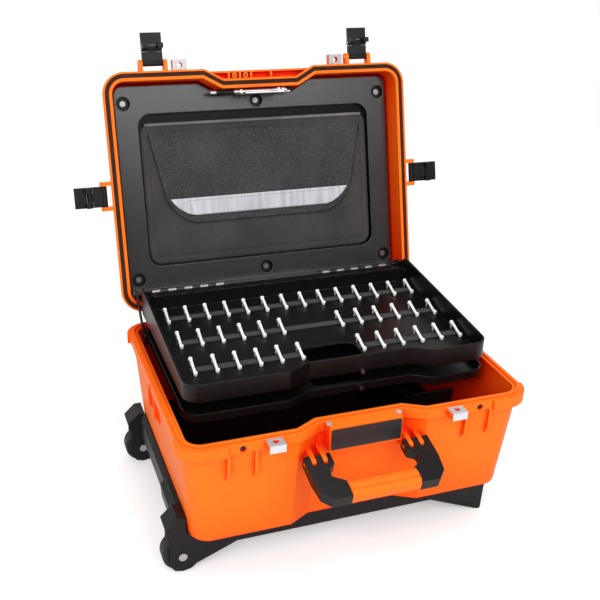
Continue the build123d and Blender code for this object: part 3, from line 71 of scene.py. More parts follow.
class Tree:
    """A short way to write a material's nodes."""

    def __init__(self, name):
        self.material = bpy.data.materials.new(name)
        self.material.use_nodes = True
        self.tree = self.material.node_tree
        self.tree.nodes.clear()
        self.output = self.tree.nodes.new("ShaderNodeOutputMaterial")
        self.shader = self.node("ShaderNodeBsdfPrincipled")
        self.link(self.shader, "BSDF", self.output, "Surface")
        self.place = self.node("ShaderNodeTexCoord")

    def node(self, kind, **settings):
        made = self.tree.nodes.new(kind)
        for key, value in settings.items():
            setattr(made, key, value)
        return made

    def link(self, source, output, target, entry):
        self.tree.links.new(source.outputs[output], target.inputs[entry])

    def set(self, **values):
        for key, value in values.items():
            self.shader.inputs[key.replace("_", " ")].default_value = value

    def stretched(self, scale):
        """Object coordinates, scaled on each axis."""
        mapping = self.node("ShaderNodeMapping")
        mapping.inputs["Scale"].default_value = scale
        self.link(self.place, "Object", mapping, "Vector")
        return mapping

    def noise(self, scale, detail=2.0, roughness=0.5, stretch=None):
        made = self.node("ShaderNodeTexNoise")
        made.inputs["Scale"].default_value = scale
        made.inputs["Detail"].default_value = detail
        made.inputs["Roughness"].default_value = roughness
        if stretch is None:
            self.link(self.place, "Object", made, "Vector")
        else:
            self.link(self.stretched(stretch), "Vector", made, "Vector")
        return made

    def ramp(self, source, output, stops):
        made = self.node("ShaderNodeValToRGB")
        while len(made.color_ramp.elements) < len(stops):
            made.color_ramp.elements.new(0.5)
        for element, (position, colour) in zip(made.color_ramp.elements, stops):
            element.position = position
            element.color = (*colour, 1)
        self.link(source, output, made, "Fac")
        return made

    def mix(self, factor, low, high, blend="MIX"):
        """Mixes two colours or colour outputs; factor is a number or a (node, output) pair."""
        made = self.node("ShaderNodeMix", data_type="RGBA", blend_type=blend)
        for entry, value in ((0, factor), (6, low), (7, high)):
            if isinstance(value, tuple) and hasattr(value[0], "outputs"):
                self.tree.links.new(value[0].outputs[value[1]], made.inputs[entry])
            elif entry == 0:
                made.inputs[entry].default_value = value
            else:
                made.inputs[entry].default_value = (*value, 1)
        return made

    def bump(self, source, output, distance, strength=1.0, under=None):
        made = self.node("ShaderNodeBump")
        made.inputs["Strength"].default_value = strength
        made.inputs["Distance"].default_value = distance
        self.link(source, output, made, "Height")
        if under is not None:
            self.link(under, "Normal", made, "Normal")
        return made

    def range(self, source, output, low, high):
        made = self.node("ShaderNodeMapRange")
        made.inputs["To Min"].default_value = low
        made.inputs["To Max"].default_value = high
        self.link(source, output, made, "Value")
        return made


def edge_mask(tree, radius, low, high):
    """White along edges that a bevel of this radius would round, black elsewhere."""
    bevel = tree.node("ShaderNodeBevel", samples=4)
    bevel.inputs["Radius"].default_value = radius
    flat = tree.node("ShaderNodeNewGeometry")
    dot = tree.node("ShaderNodeVectorMath", operation="DOT_PRODUCT")
    tree.link(bevel, "Normal", dot, 0)
    tree.link(flat, "Normal", dot, 1)
    return bevel, tree.ramp(dot, "Value", ((low, (1, 1, 1)), (high, (0, 0, 0))))


def recess_shade_mask(tree, start, end):
    """Marks painted shade in the panel's recess: white deeper than end into the lid, behind its rim's plane, and
    black before start.
    """
    apart = tree.node("ShaderNodeVectorMath", operation="SUBTRACT")
    tree.link(tree.place, "Object", apart, 0)
    apart.inputs[1].default_value = LID_HINGE
    depth = tree.node("ShaderNodeVectorMath", operation="DOT_PRODUCT")
    tree.link(apart, "Vector", depth, 0)
    depth.inputs[1].default_value = LID_INWARD
    made = tree.range(depth, "Value", 0, 1)
    made.inputs["From Min"].default_value = start
    made.inputs["From Max"].default_value = end
    return made, "Result"


def hollow_shade_mask(tree, reach):
    """Marks painted shade: white in hollows up to this far across, black in the open."""
    open_air = tree.node("ShaderNodeAmbientOcclusion", samples=6)
    open_air.inputs["Distance"].default_value = reach
    return tree.ramp(open_air, "AO", ((0.30, (1, 1, 1)), (0.72, (0, 0, 0)))), "Color"


def moulded_plastic(name, colour, roughness, grain, edge_wear_and_highlight_colour, edge_radius, grain_depth=0.00006,
                    spread=0.12, specular=0.5, shade=None, painted_shade_mask=None):
    """Moulded plastic with a fine grain, slightly uneven colour and softly rounded edges, lighter in patches along
    the edges: partly wear, partly a painted highlight.

    Where the painted shade mask, a function of the tree, is white, the plastic takes on the shade colour and
    shines less: painted shade in hollows and recesses.
    """
    tree = Tree(name)
    patches = tree.noise(9, 3)
    dark = [c * (1 - spread) for c in colour]
    light = [min(1, c * (1 + spread / 2)) for c in colour]
    body = tree.ramp(patches, "Fac", ((0.3, dark), (0.7, light)))
    # Lighter edges, broken up by scuffs: partly wear, partly a painted highlight along the rims.
    bevel, rubbed_and_highlit = edge_mask(tree, edge_radius, 0.86, 0.985)
    scuffs = tree.noise(160, 4, 0.7)
    scuff_mask = tree.ramp(scuffs, "Fac", ((0.42, (0, 0, 0)), (0.62, (1, 1, 1))))
    both = tree.mix(1.0, (rubbed_and_highlit, "Color"), (scuff_mask, "Color"), "MULTIPLY")
    base = (body, "Color")
    # Painted shade: where the mask is white, the colour turns to the shade colour and shines less.
    if shade is not None:
        shade_weight = painted_shade_mask(tree)
        base = (tree.mix(shade_weight, base, shade), 2)
        tree.link(tree.range(*shade_weight, specular, specular * 0.15), "Result", tree.shader, "Specular IOR Level")
    worn_and_highlit = tree.mix((both, 2), base, edge_wear_and_highlight_colour)
    tree.link(worn_and_highlit, 2, tree.shader, "Base Color")
    fine = tree.noise(grain, 2, 0.6)
    uneven = tree.range(patches, "Fac", roughness - 0.05, roughness + 0.07)
    tree.link(uneven, "Result", tree.shader, "Roughness")
    tree.link(tree.bump(fine, "Fac", grain_depth, under=bevel), "Normal", tree.shader, "Normal")
    tree.set(Specular_IOR_Level=specular)
    return tree.material


def brushed_metal(name, colour, roughness, stretch, metallic=1.0):
    """Metal with fine brushing along one axis."""
    tree = Tree(name)
    lines = tree.noise(700, 3, 0.6, stretch)
    tone = tree.ramp(lines, "Fac", ((0.3, [c * 0.8 for c in colour]), (0.7, colour)))
    tree.link(tone, "Color", tree.shader, "Base Color")
    tree.link(tree.range(lines, "Fac", roughness - 0.06, roughness + 0.1), "Result", tree.shader, "Roughness")
    bevel = tree.node("ShaderNodeBevel", samples=4)
    bevel.inputs["Radius"].default_value = 0.0005
    tree.link(tree.bump(lines, "Fac", 0.00002, under=bevel), "Normal", tree.shader, "Normal")
    tree.set(Metallic=metallic)
    return tree.material


KNUCKLE_R = 3.7 * MM
LEAF_FROM_R = 4.2 * MM
LEAF_BLACK = (0.03, 0.03, 0.032)


def hinge_steel(name, knuckle):
    """Dark leaves, with knuckles of another tone around the axis of the tray's hinge; a light knuckle tone is a
    painted highlight.
    """
    tree = Tree(name)
    apart = tree.node("ShaderNodeVectorMath", operation="SUBTRACT")
    tree.link(tree.place, "Object", apart, 0)
    apart.inputs[1].default_value = TRAY_AXIS
    flat = tree.node("ShaderNodeVectorMath", operation="MULTIPLY")
    tree.link(apart, "Vector", flat, 0)
    flat.inputs[1].default_value = (0, 1, 1)
    away = tree.node("ShaderNodeVectorMath", operation="LENGTH")
    tree.link(flat, "Vector", away, 0)
    scaled = tree.node("ShaderNodeMath", operation="MULTIPLY")
    tree.link(away, "Value", scaled, 0)
    scaled.inputs[1].default_value = 100
    near = tree.ramp(scaled, "Value", ((100 * KNUCKLE_R, knuckle), (100 * LEAF_FROM_R, LEAF_BLACK)))
    scratches = tree.noise(900, 3, 0.6, (1, 10, 10))
    tone = tree.mix(0.25, (near, "Color"), (scratches, "Color"), "MULTIPLY")
    tree.link(tone, 2, tree.shader, "Base Color")
    tree.link(tree.range(scratches, "Fac", 0.22, 0.42), "Result", tree.shader, "Roughness")
    tree.set(Metallic=0.85)
    return tree.material


def rubber(name, colour, roughness):
    """Dull rubber with a mottled bloom."""
    tree = Tree(name)
    bloom = tree.noise(60, 5, 0.65)
    tone = tree.ramp(bloom, "Fac", ((0.35, [c * 0.75 for c in colour]), (0.75, [c * 1.5 for c in colour])))
    tree.link(tone, "Color", tree.shader, "Base Color")
    fine = tree.noise(1400, 2)
    bevel = tree.node("ShaderNodeBevel", samples=4)
    bevel.inputs["Radius"].default_value = 0.001
    tree.link(tree.bump(fine, "Fac", 0.00008, under=bevel), "Normal", tree.shader, "Normal")
    tree.set(Roughness=roughness, Specular_IOR_Level=0.35)
    return tree.material


def felt_fabric(name, colour, speck, speck_from, fuzz):
    """Dark felt or suede cloth: speckled fibres over a soft nap."""
    tree = Tree(name)
    fibres = tree.noise(620, 3, 0.75)
    clouds = tree.noise(14, 3, 0.5)
    shade = tree.ramp(clouds, "Fac", ((0.3, [c * 0.78 for c in colour]), (0.7, [c * 1.2 for c in colour])))
    specks = tree.ramp(fibres, "Fac", ((speck_from, (0, 0, 0)), (speck_from + 0.14, (1, 1, 1))))
    body = tree.mix((specks, "Color"), (shade, "Color"), speck)
    tree.link(body, 2, tree.shader, "Base Color")
    nap = tree.noise(2400, 4, 0.7)
    soft = tree.bump(clouds, "Fac", 0.0012, 0.6)
    tree.link(tree.bump(nap, "Fac", 0.0005, under=soft), "Normal", tree.shader, "Normal")
    tree.set(Roughness=0.95, Sheen_Weight=fuzz, Sheen_Roughness=0.5, Specular_IOR_Level=0.15)
    return tree.material


def woven_tape(name, colour, ribs_per_metre):
    """Narrow woven tape or elastic, with ribs across its length."""
    tree = Tree(name)
    wave = tree.node("ShaderNodeTexWave", wave_type="BANDS", bands_direction="X")
    wave.inputs["Scale"].default_value = ribs_per_metre / 20
    wave.inputs["Distortion"].default_value = 0.4
    tree.link(tree.place, "Object", wave, "Vector")
    tone = tree.ramp(wave, "Fac", ((0.2, [c * 0.6 for c in colour]), (0.8, [c * 1.15 for c in colour])))
    tree.link(tone, "Color", tree.shader, "Base Color")
    tree.link(tree.bump(wave, "Fac", 0.0004), "Normal", tree.shader, "Normal")
    tree.set(Roughness=0.85, Sheen_Weight=0.2, Specular_IOR_Level=0.25)
    return tree.material


def reflective_tape(name):
    """Light grey reflective fabric with soft vertical creases."""
    tree = Tree(name)
    creases = tree.noise(1, 2, 0.5, (85, 12, 12))
    beads = tree.noise(2600, 1)
    tone = tree.ramp(creases, "Fac", ((0.3, (0.40, 0.40, 0.43)), (0.7, (0.60, 0.60, 0.64))))
    tree.link(tone, "Color", tree.shader, "Base Color")
    soft = tree.bump(creases, "Fac", 0.002, 0.7)
    tree.link(tree.bump(beads, "Fac", 0.0001, under=soft), "Normal", tree.shader, "Normal")
    tree.set(Roughness=0.42, Specular_IOR_Level=0.5, Sheen_Weight=0.1)
    return tree.material


# Orange shell: painted shade, darker and redder, in its hollows and deep inside.
orange = moulded_plastic("orange_plastic", (0.95, 0.168, 0.006), 0.42, 1100, (1.0, 0.30, 0.04), 0.0012,
                         grain_depth=0.00002, spread=0.05, specular=0.14, shade=(0.88, 0.014, 0.002),
                         painted_shade_mask=lambda tree: hollow_shade_mask(tree, 0.22))
black = moulded_plastic("black_plastic", (0.006, 0.006, 0.0065), 0.38, 1300, (0.05, 0.05, 0.052), 0.0008,
                        specular=0.26)
# Panel: painted shade deep in the pocket's recess.
panel = moulded_plastic("panel_plastic", (0.018, 0.018, 0.020), 0.27, 1500, (0.09, 0.09, 0.095), 0.0022,
                        specular=0.75, shade=(0.003, 0.003, 0.003),
                        painted_shade_mask=lambda tree: recess_shade_mask(tree, PANEL_FACE + 1 * MM, PANEL_FACE + 5 * MM))
tray_black = moulded_plastic("tray_plastic", (0.004, 0.004, 0.0045), 0.31, 1200, (0.18, 0.18, 0.18), 0.0008,
                             specular=0.26)
label = moulded_plastic("label_plate", (0.014, 0.014, 0.016), 0.3, 1700, (0.06, 0.06, 0.065), 0.0006)
white = moulded_plastic("clip_plastic", (0.90, 0.90, 0.89), 0.35, 1900, (0.95, 0.95, 0.94), 0.0004, spread=0.04)
steel = brushed_metal("bright_steel", (0.82, 0.82, 0.83), 0.25, (1, 12, 12), 0.7)
dull_steel = brushed_metal("dull_steel", (0.34, 0.33, 0.33), 0.3, (1, 12, 12))
pin_steel = brushed_metal("pin_steel", (0.62, 0.62, 0.63), 0.22, (1, 12, 12))
aluminium = brushed_metal("drawn_aluminium", (0.74, 0.74, 0.75), 0.3, (1, 14, 14))
gasket_rubber = rubber("gasket_rubber", (0.030, 0.011, 0.006), 0.8)
tyre_rubber = rubber("tyre_rubber", (0.014, 0.014, 0.014), 0.55)
felt = felt_fabric("pocket_felt", (0.042, 0.040, 0.041), (0.19, 0.18, 0.18), 0.56, 0.12)
pouch_cloth = felt_fabric("pouch_cloth", (0.050, 0.047, 0.046), (0.15, 0.14, 0.135), 0.60, 0.1)
binding_cloth = felt_fabric("binding_cloth", (0.022, 0.021, 0.022), (0.04, 0.04, 0.04), 0.66, 0.1)
hem_cloth = felt_fabric("hem_cloth", (0.16, 0.155, 0.16), (0.30, 0.29, 0.29), 0.62, 0.1)
thread = woven_tape("dark_thread", (0.012, 0.012, 0.013), 2500)
pale_thread = woven_tape("pale_thread", (0.22, 0.22, 0.23), 2500)
elastic = woven_tape("grey_elastic", (0.026, 0.026, 0.025), 2400)
tape = reflective_tape("reflective_tape")

BY_SLOT = {
    "shell_orange": orange, "black_plastic": black, "panel_black": panel, "gasket": gasket_rubber,
    "tyre": tyre_rubber, "steel": steel, "felt": pouch_cloth, "stripe": tape, "elastic": elastic,
    "white_plastic": white, "label_black": label, "aluminium": aluminium,
}
BY_NODE = {
    # The tray's knuckles take a painted highlight; the lid's keep a dark tone.
    "tray_leaves": hinge_steel("knuckles_painted_highlight", (0.42, 0.42, 0.42)),
    "lid_leaves": hinge_steel("dark_knuckles", (0.05, 0.05, 0.05)),
    "upper_tray": tray_black, "lower_tray": tray_black, "insert_tray": tray_black, "insert_divider": tray_black,
    "panel_screws": dull_steel, "lid_padlock_plates": dull_steel, "latch_rivets": black,
    "upper_tray_stud": dull_steel, "lower_tray_stud": dull_steel,
    "axles": pin_steel, "handle_pins": pin_steel, "lid_hinge_pins": pin_steel, "tray_hinge_pins": pin_steel,
}
for part in frame["record"]["subparts"]:
    found = nodes.get(part.get("node") or part.get("name"))
    if found is None:
        continue
    material = BY_NODE.get(found.name, BY_SLOT[part["material_slot"]])
    found.data.materials.clear()
    found.data.materials.append(material)


# Making pieces

def piece(name, mesh, material, body):
    """An object from a bmesh, with its material and body."""
    data = bpy.data.meshes.new(name)
    mesh.normal_update()
    mesh.to_mesh(data)
    mesh.free()
    data.materials.append(material)
    for polygon in data.polygons:
        polygon.use_smooth = True
    made = bpy.data.objects.new(name, data)
    bpy.context.scene.collection.objects.link(made)
    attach(made, body)
    return made


def sheet_mesh(rows, columns, place, thickness):
    """A closed sheet: place(s, t) gives the face's (x, y, height) for s and t from 0 to 1.

    Height grows away from whoever looks at the face, and the back lies thickness(s, t) behind it.
    """
    mesh = bmesh.new()
    face, back = [], []
    for i in range(rows + 1):
        face_row, back_row = [], []
        for j in range(columns + 1):
            s, t = j / columns, i / rows
            x, y, height = place(s, t)
            face_row.append(mesh.verts.new((x, y, height)))
            back_row.append(mesh.verts.new((x, y, height + thickness(s, t))))
        face.append(face_row)
        back.append(back_row)
    for i in range(rows):
        for j in range(columns):
            mesh.faces.new((face[i][j], face[i][j + 1], face[i + 1][j + 1], face[i + 1][j]))
            mesh.faces.new((back[i][j], back[i + 1][j], back[i + 1][j + 1], back[i][j + 1]))
    border = [(0, j) for j in range(columns)] + [(i, columns) for i in range(rows)]
    border += [(rows, j) for j in range(columns, 0, -1)] + [(i, 0) for i in range(rows, 0, -1)]
    for here, there in zip(border, border[1:] + border[:1]):
        a, b = face[here[0]][here[1]], face[there[0]][there[1]]
        c, d = back[there[0]][there[1]], back[here[0]][here[1]]
        mesh.faces.new((b, a, d, c))
    bmesh.ops.recalc_face_normals(mesh, faces=mesh.faces)
    return mesh


def close_rings(rings, sides, into):
    """Joins rings of points into a closed skin."""
    for low, high in zip(rings, rings[1:]):
        for n in range(sides):
            m = (n + 1) % sides
            into.faces.new((low[n], low[m], high[m], high[n]))
    into.faces.new(list(reversed(rings[0])))
    into.faces.new(rings[-1])


def tube_mesh(path, radii, sides, into):
    """Adds a round tube along a list of points, with closed ends, to a mesh."""
    rings = []
    for k, point in enumerate(path):
        ahead = path[min(k + 1, len(path) - 1)] - path[max(k - 1, 0)]
        ahead.normalize()
        side = ahead.cross(Vector((0, 0, 1)) if abs(ahead.z) < 0.9 else Vector((0, 1, 0))).normalized()
        up = side.cross(ahead).normalized()
        ring = []
        for n in range(sides):
            turn = 2 * pi * n / sides
            ring.append(into.verts.new(point + side * (radii[k] * cos(turn)) + up * (radii[k] * sin(turn))))
        rings.append(ring)
    close_rings(rings, sides, into)


def lathe_mesh(profile, centre, sides, into):
    """Adds an upright turned shape to a mesh: profile is (radius, height) pairs from the bottom to the top."""
    rings = []
    for radius, height in profile:
        ring = []
        for n in range(sides):
            turn = 2 * pi * n / sides
            ring.append(into.verts.new(Vector(centre) + Vector((radius * cos(turn), radius * sin(turn), height))))
        rings.append(ring)
    close_rings(rings, sides, into)


def on_lid(mesh):
    """Takes a mesh drawn in (x, closed y in the case, height above the rim plane) to the open lid."""
    for vert in mesh.verts:
        vert.co = TO_LID @ Vector((vert.co.x, vert.co.y - HINGE_CASE_Y, vert.co.z))
    return mesh


# Document pocket: pouch, flap, bindings, stripe and stitches

POUCH_HALF_W = 209.5 * MM
POUCH_FRONT_Y = -117.0 * MM
POUCH_BACK_Y = 127.0 * MM
POUCH_FACE = 42.6 * MM
POUCH_BACK = 47.6 * MM
POUCH_CORNER = 21 * MM
POUCH_HEM = 13 * MM
FLAP_TOP_Y = -99.5 * MM
FLAP_END_Y = 59.4 * MM
FLAP_FACE = 38.6 * MM
FLAP_THICKNESS = 1.7 * MM
FLAP_BINDING = 11 * MM
FLAP_TOP_HALF_W = 196 * MM
FLAP_TAPER = 0.195
FLAP_CURVE_Y = 2 * MM
FLAP_CURVE_W = 50 * MM
EDGE_RADIUS = 1.3 * MM
HEM_RADIUS = 2.6 * MM
HEM_HEIGHT = 40.4 * MM
STRIPE_TOP_Y = 15.4 * MM
STRIPE_FACE = 37.4 * MM
STRIPE_INSET = 13.5 * MM
STRIPE_SIDE_GAP = 4 * MM
STRIPE_TAPER = 0.3
STRIPE_CURVE_W = 42 * MM
STRIPE_THICKNESS = 0.5 * MM
STRIPE_STITCH_HALF = 138 * MM
STRIPE_STITCH_INSET = 4.6 * MM
STITCH_LENGTH = 3.4 * MM
STITCH_PITCH = 5.2 * MM
STITCH_DEPTH = 0.35 * MM
STITCH_RADIUS = 0.45 * MM


def rounded_half_width(y, low, high, half, corner):
    """Half the width of a rounded rectangle at this y."""
    near = min(y - low, high - y)
    if near >= corner:
        return half
    return half - corner + sqrt(max(0.0, corner ** 2 - (corner - near) ** 2))


def flap_half_width(y):
    """Half the flap's width: nearly straight sides, then a long round corner to the free edge."""
    side = FLAP_TOP_HALF_W - (y - FLAP_TOP_Y) * FLAP_TAPER
    if y <= FLAP_CURVE_Y:
        return side
    share = min(1.0, (y - FLAP_CURVE_Y) / (FLAP_END_Y - FLAP_CURVE_Y))
    return side - FLAP_CURVE_W * (1 - sqrt(max(0.0, 1 - share ** 2)))


def eased(t):
    """Puts rows closer together towards both ends."""
    return 0.5 - 0.5 * cos(pi * t)


def wrinkle(x, y, seed, size):
    """An even unevenness of the cloth, about 1 / size metres from fold to fold."""
    return noise.noise(Vector((x * size, y * size, seed)))


def pouch_place(s, t):
    """The padded pouch: a sunk edge, a raised seam, a plump middle and one crease at the lower left."""
    y = POUCH_FRONT_Y + (POUCH_BACK_Y - POUCH_FRONT_Y) * eased(t)
    half = rounded_half_width(y, POUCH_FRONT_Y, POUCH_BACK_Y, POUCH_HALF_W, POUCH_CORNER)
    x = half * (2 * s - 1)
    edge = min(half - abs(x), y - POUCH_FRONT_Y, POUCH_BACK_Y - y)
    seam = exp(-((edge - POUCH_HEM) / (1.6 * MM)) ** 2)
    rise = 2.2 * MM * (1 - exp(-edge / (3 * MM)))
    plump = 1.4 * MM * min(1.0, max(0.0, (edge - POUCH_HEM) / (50 * MM))) ** 0.6
    folds = 0.5 * MM * wrinkle(x, y, 3.1, 22) * min(1.0, edge / (20 * MM))
    crease = 1.3 * MM * exp(-((x + 168 * MM - (y - 70 * MM) * 0.12) / (7 * MM)) ** 2)
    crease *= min(1.0, max(0.0, (y - 10 * MM) / (40 * MM)))
    height = POUCH_FACE + 1.6 * MM - rise - plump + 1.0 * MM * seam + folds - crease
    return x, y, max(height, 40.9 * MM if y < FLAP_END_Y + 4 * MM else 39.4 * MM)


def pouch_depth(s, t):
    """How thick the pouch is, down to the panel's recess."""
    return POUCH_BACK - pouch_place(s, t)[2]


def flap_face(x, y, half):
    """The flap's face: a bound edge that stands proud of slightly uneven cloth."""
    edge = min(half - abs(x), FLAP_END_Y - y)
    band = 0.9 * MM if edge < FLAP_BINDING else 0.9 * MM * exp(-((edge - FLAP_BINDING) / (1.2 * MM)) ** 2)
    lip = 0.9 * MM * exp(-edge / (1.2 * MM))
    folds = 0.35 * MM * wrinkle(x, y, 8.4, 16)
    return FLAP_FACE - band * 0.55 + lip + folds


def flap_place(s, t):
    y = FLAP_TOP_Y + (FLAP_END_Y - FLAP_TOP_Y) * sin(t * pi / 2)
    half = flap_half_width(y)
    x = half * sin((2 * s - 1) * pi / 2)
    return x, y, flap_face(x, y, half)


def stripe_place(s, t):
    """The reflective stripe, whose ends follow the flap's round corners."""
    end = FLAP_END_Y - STRIPE_INSET
    y = STRIPE_TOP_Y + (end - STRIPE_TOP_Y) * t
    share = (y - FLAP_CURVE_Y) / (end + 0.5 * MM - FLAP_CURVE_Y)
    half = flap_half_width(FLAP_CURVE_Y) - STRIPE_SIDE_GAP - (y - FLAP_CURVE_Y) * STRIPE_TAPER
    half -= STRIPE_CURVE_W * (1 - sqrt(max(0.0, 1 - share ** 2)))
    x = half * (2 * s - 1)
    ripple = 0.25 * MM * wrinkle(x, 0.2 * y, 5.7, 70)
    return x, y, STRIPE_FACE + ripple


def stitches(name, points, height, material):
    """A row of single stitches along a path of (x, y), lying on the cloth at height(x, y)."""
    mesh = bmesh.new()
    carried = 0.0
    for (x0, y0), (x1, y1) in zip(points, points[1:]):
        along = Vector((x1 - x0, y1 - y0))
        length = along.length
        along.normalize()
        while carried < length:
            start = Vector((x0, y0)) + along * carried
            end = start + along * STITCH_LENGTH
            path = [
                Vector((start.x, start.y, height(*start) + STITCH_DEPTH)),
                Vector((*(start + (end - start) * 0.3), height(*start) - STITCH_DEPTH * 0.6)),
                Vector((*(start + (end - start) * 0.7), height(*end) - STITCH_DEPTH * 0.6)),
                Vector((end.x, end.y, height(*end) + STITCH_DEPTH)),
            ]
            tube_mesh(path, [STITCH_RADIUS * share for share in (0.6, 1, 1, 0.6)], 6, mesh)
            carried += STITCH_PITCH
        carried -= length
    return piece(name, on_lid(mesh), material, "lid")


def make_pocket():
    pouch = piece("pocket_pouch_cloth", on_lid(sheet_mesh(70, 110, pouch_place, pouch_depth)),
                  pouch_cloth, "lid")
    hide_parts("pocket_pouch")
    flap = piece("pocket_flap_cloth", on_lid(sheet_mesh(60, 100, flap_place, lambda s, t: FLAP_THICKNESS)),
                 felt, "lid")
    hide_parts("pocket_flap")
    stripe = piece("pocket_stripe_tape", on_lid(sheet_mesh(14, 120, stripe_place, lambda s, t: STRIPE_THICKNESS)),
                   tape, "lid")
    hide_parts("pocket_stripe")

    edge_path = []
    steps = 90
    for k in range(steps + 1):
        y = FLAP_TOP_Y + (FLAP_END_Y - FLAP_TOP_Y) * sin(k / steps * pi / 2)
        edge_path.append((flap_half_width(y), y))
    outline = [(-x, y) for x, y in edge_path] + [(x, y) for x, y in reversed(edge_path)]
    binding = bmesh.new()
    path = [Vector((x, y, FLAP_FACE + 0.9 * MM)) for x, y in outline]
    tube_mesh(path, [EDGE_RADIUS] * len(path), 8, binding)
    edge = piece("pocket_flap_edge", on_lid(binding), binding_cloth, "lid")

    inner = []
    for x, y in outline:
        if y < FLAP_TOP_Y + 4 * MM:
            continue
        drop = max(0.0, (y - FLAP_CURVE_Y) / (FLAP_END_Y - FLAP_CURVE_Y)) ** 3
        inner.append((x * (1 - (FLAP_BINDING + 2 * MM) / FLAP_TOP_HALF_W * 0.9), y - drop * FLAP_BINDING))
    stitches("pocket_flap_stitches", inner, lambda x, y: FLAP_FACE - 0.1 * MM, thread)
    stripe_line = [(side * STRIPE_STITCH_HALF, STRIPE_TOP_Y + STRIPE_STITCH_INSET) for side in (-1, 1)]
    stitches("pocket_stripe_stitches", stripe_line, lambda x, y: STRIPE_FACE, pale_thread)
    hem_x = POUCH_HALF_W - POUCH_HEM
    hem_front, hem_back = POUCH_FRONT_Y + 2 * POUCH_HEM, POUCH_BACK_Y - POUCH_HEM
    hem = [(-hem_x, hem_front), (-hem_x, hem_back), (hem_x, hem_back), (hem_x, hem_front)]
    stitches("pocket_pouch_stitches", hem, lambda x, y: POUCH_FACE - 0.5 * MM, thread)

    hem_tube = bmesh.new()
    steps = 40
    path = [Vector((POUCH_HALF_W * 0.955 * (2 * k / steps - 1), POUCH_FRONT_Y + 3.2 * MM,
                    HEM_HEIGHT + 0.25 * MM * wrinkle(k * 0.011, 0, 2.2, 30))) for k in range(steps + 1)]
    tube_mesh(path, [HEM_RADIUS] * len(path), 10, hem_tube)
    piece("pocket_top_hem", on_lid(hem_tube), hem_cloth, "lid")


make_pocket()


# Tool clips, in the places that the part gives them

CLIP_ROWS = (151.5 * MM, 62.5 * MM, -26.5 * MM)
CLIP_COUNT = 14
CLIP_PITCH = 34.2 * MM
CLIP_MIDDLE_X = 12 * MM
CLIP_FLOOR = 264 * MM
CLIP_HEIGHT = 15 * MM
CLIP_RADIUS = 3.4 * MM
CLIP_REACH = 31 * MM
CLIP_SIDES = 14
CLIP_PIN = ((0.45, 0.0), (0.45, 0.5), (0.98, 0.66), (1.0, 0.82), (0.86, 0.94), (0.4, 1.0))
CLIP_KNOB = ((0.85, 0.0), (0.85, 0.12), (1.0, 0.22), (1.0, 0.34), (0.84, 0.42), (0.4, 0.46))
CLIP_BAR_TOP = 0.76
CLIP_BAR_DROP = 0.50
CLIP_BAR_RADIUS = 0.66
CLIP_BAR_FLARE = 0.16
CLIP_BAR_STEPS = 12
CLIP_BAR_SIDES = 12


def make_clips():
    """Bone-shaped clips: a tall pin at the back, a bar sloping forward and a lower knob."""
    mesh = bmesh.new()
    for row in CLIP_ROWS:
        for i in range(CLIP_COUNT):
            if row != CLIP_ROWS[0] and i in (CLIP_COUNT // 2 - 1, CLIP_COUNT // 2):
                continue
            x = CLIP_MIDDLE_X + (i - (CLIP_COUNT - 1) / 2) * CLIP_PITCH
            back = CASE_Y + row + CLIP_REACH / 2
            front = CASE_Y + row - CLIP_REACH / 2
            for y, profile in ((back, CLIP_PIN), (front, CLIP_KNOB)):
                turned = [(CLIP_RADIUS * r, CLIP_HEIGHT * h) for r, h in profile]
                lathe_mesh(turned, (x, y, CLIP_FLOOR), CLIP_SIDES, mesh)
            path, radii = [], []
            for k in range(CLIP_BAR_STEPS + 1):
                share = k / CLIP_BAR_STEPS
                lift = CLIP_BAR_TOP - CLIP_BAR_DROP * (0.5 - 0.5 * cos(pi * share))
                path.append(Vector((x, back + (front - back) * share, CLIP_FLOOR + CLIP_HEIGHT * lift)))
                radii.append(CLIP_RADIUS * (CLIP_BAR_RADIUS + CLIP_BAR_FLARE * (2 * share - 1) ** 2))
            tube_mesh(path, radii, CLIP_BAR_SIDES, mesh)
    clips = piece("tool_clips_detailed", mesh, white, "upper_tray")
    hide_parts("tool_clips")


make_clips()


# Studio: floor, backdrop, lamps, world and camera

FLOOR_GLOW = 0.30
WORLD_LIGHT = 0.66
WORLD_SEEN = 1.0
WORLD_SHINE = 0.16


def stage_material(name, colour):
    """A pale surface that the camera sees white, and that keeps the object's shadow."""
    tree = Tree(name)
    grain = tree.noise(6, 2)
    tone = tree.ramp(grain, "Fac", ((0.0, [c * 0.985 for c in colour]), (1.0, colour)))
    tree.link(tone, "Color", tree.shader, "Base Color")
    tree.set(Roughness=0.9, Specular_IOR_Level=0.1)
    glow = tree.node("ShaderNodeEmission")
    glow.inputs["Color"].default_value = (1, 1, 1, 1)
    rays = tree.node("ShaderNodeLightPath")
    seen = tree.node("ShaderNodeMath", operation="MULTIPLY")
    tree.link(rays, "Is Camera Ray", seen, 0)
    seen.inputs[1].default_value = FLOOR_GLOW
    tree.link(seen, "Value", glow, "Strength")
    both = tree.node("ShaderNodeAddShader")
    tree.link(tree.shader, "BSDF", both, 0)
    tree.link(glow, "Emission", both, 1)
    tree.link(both, "Shader", tree.output, "Surface")
    return tree.material


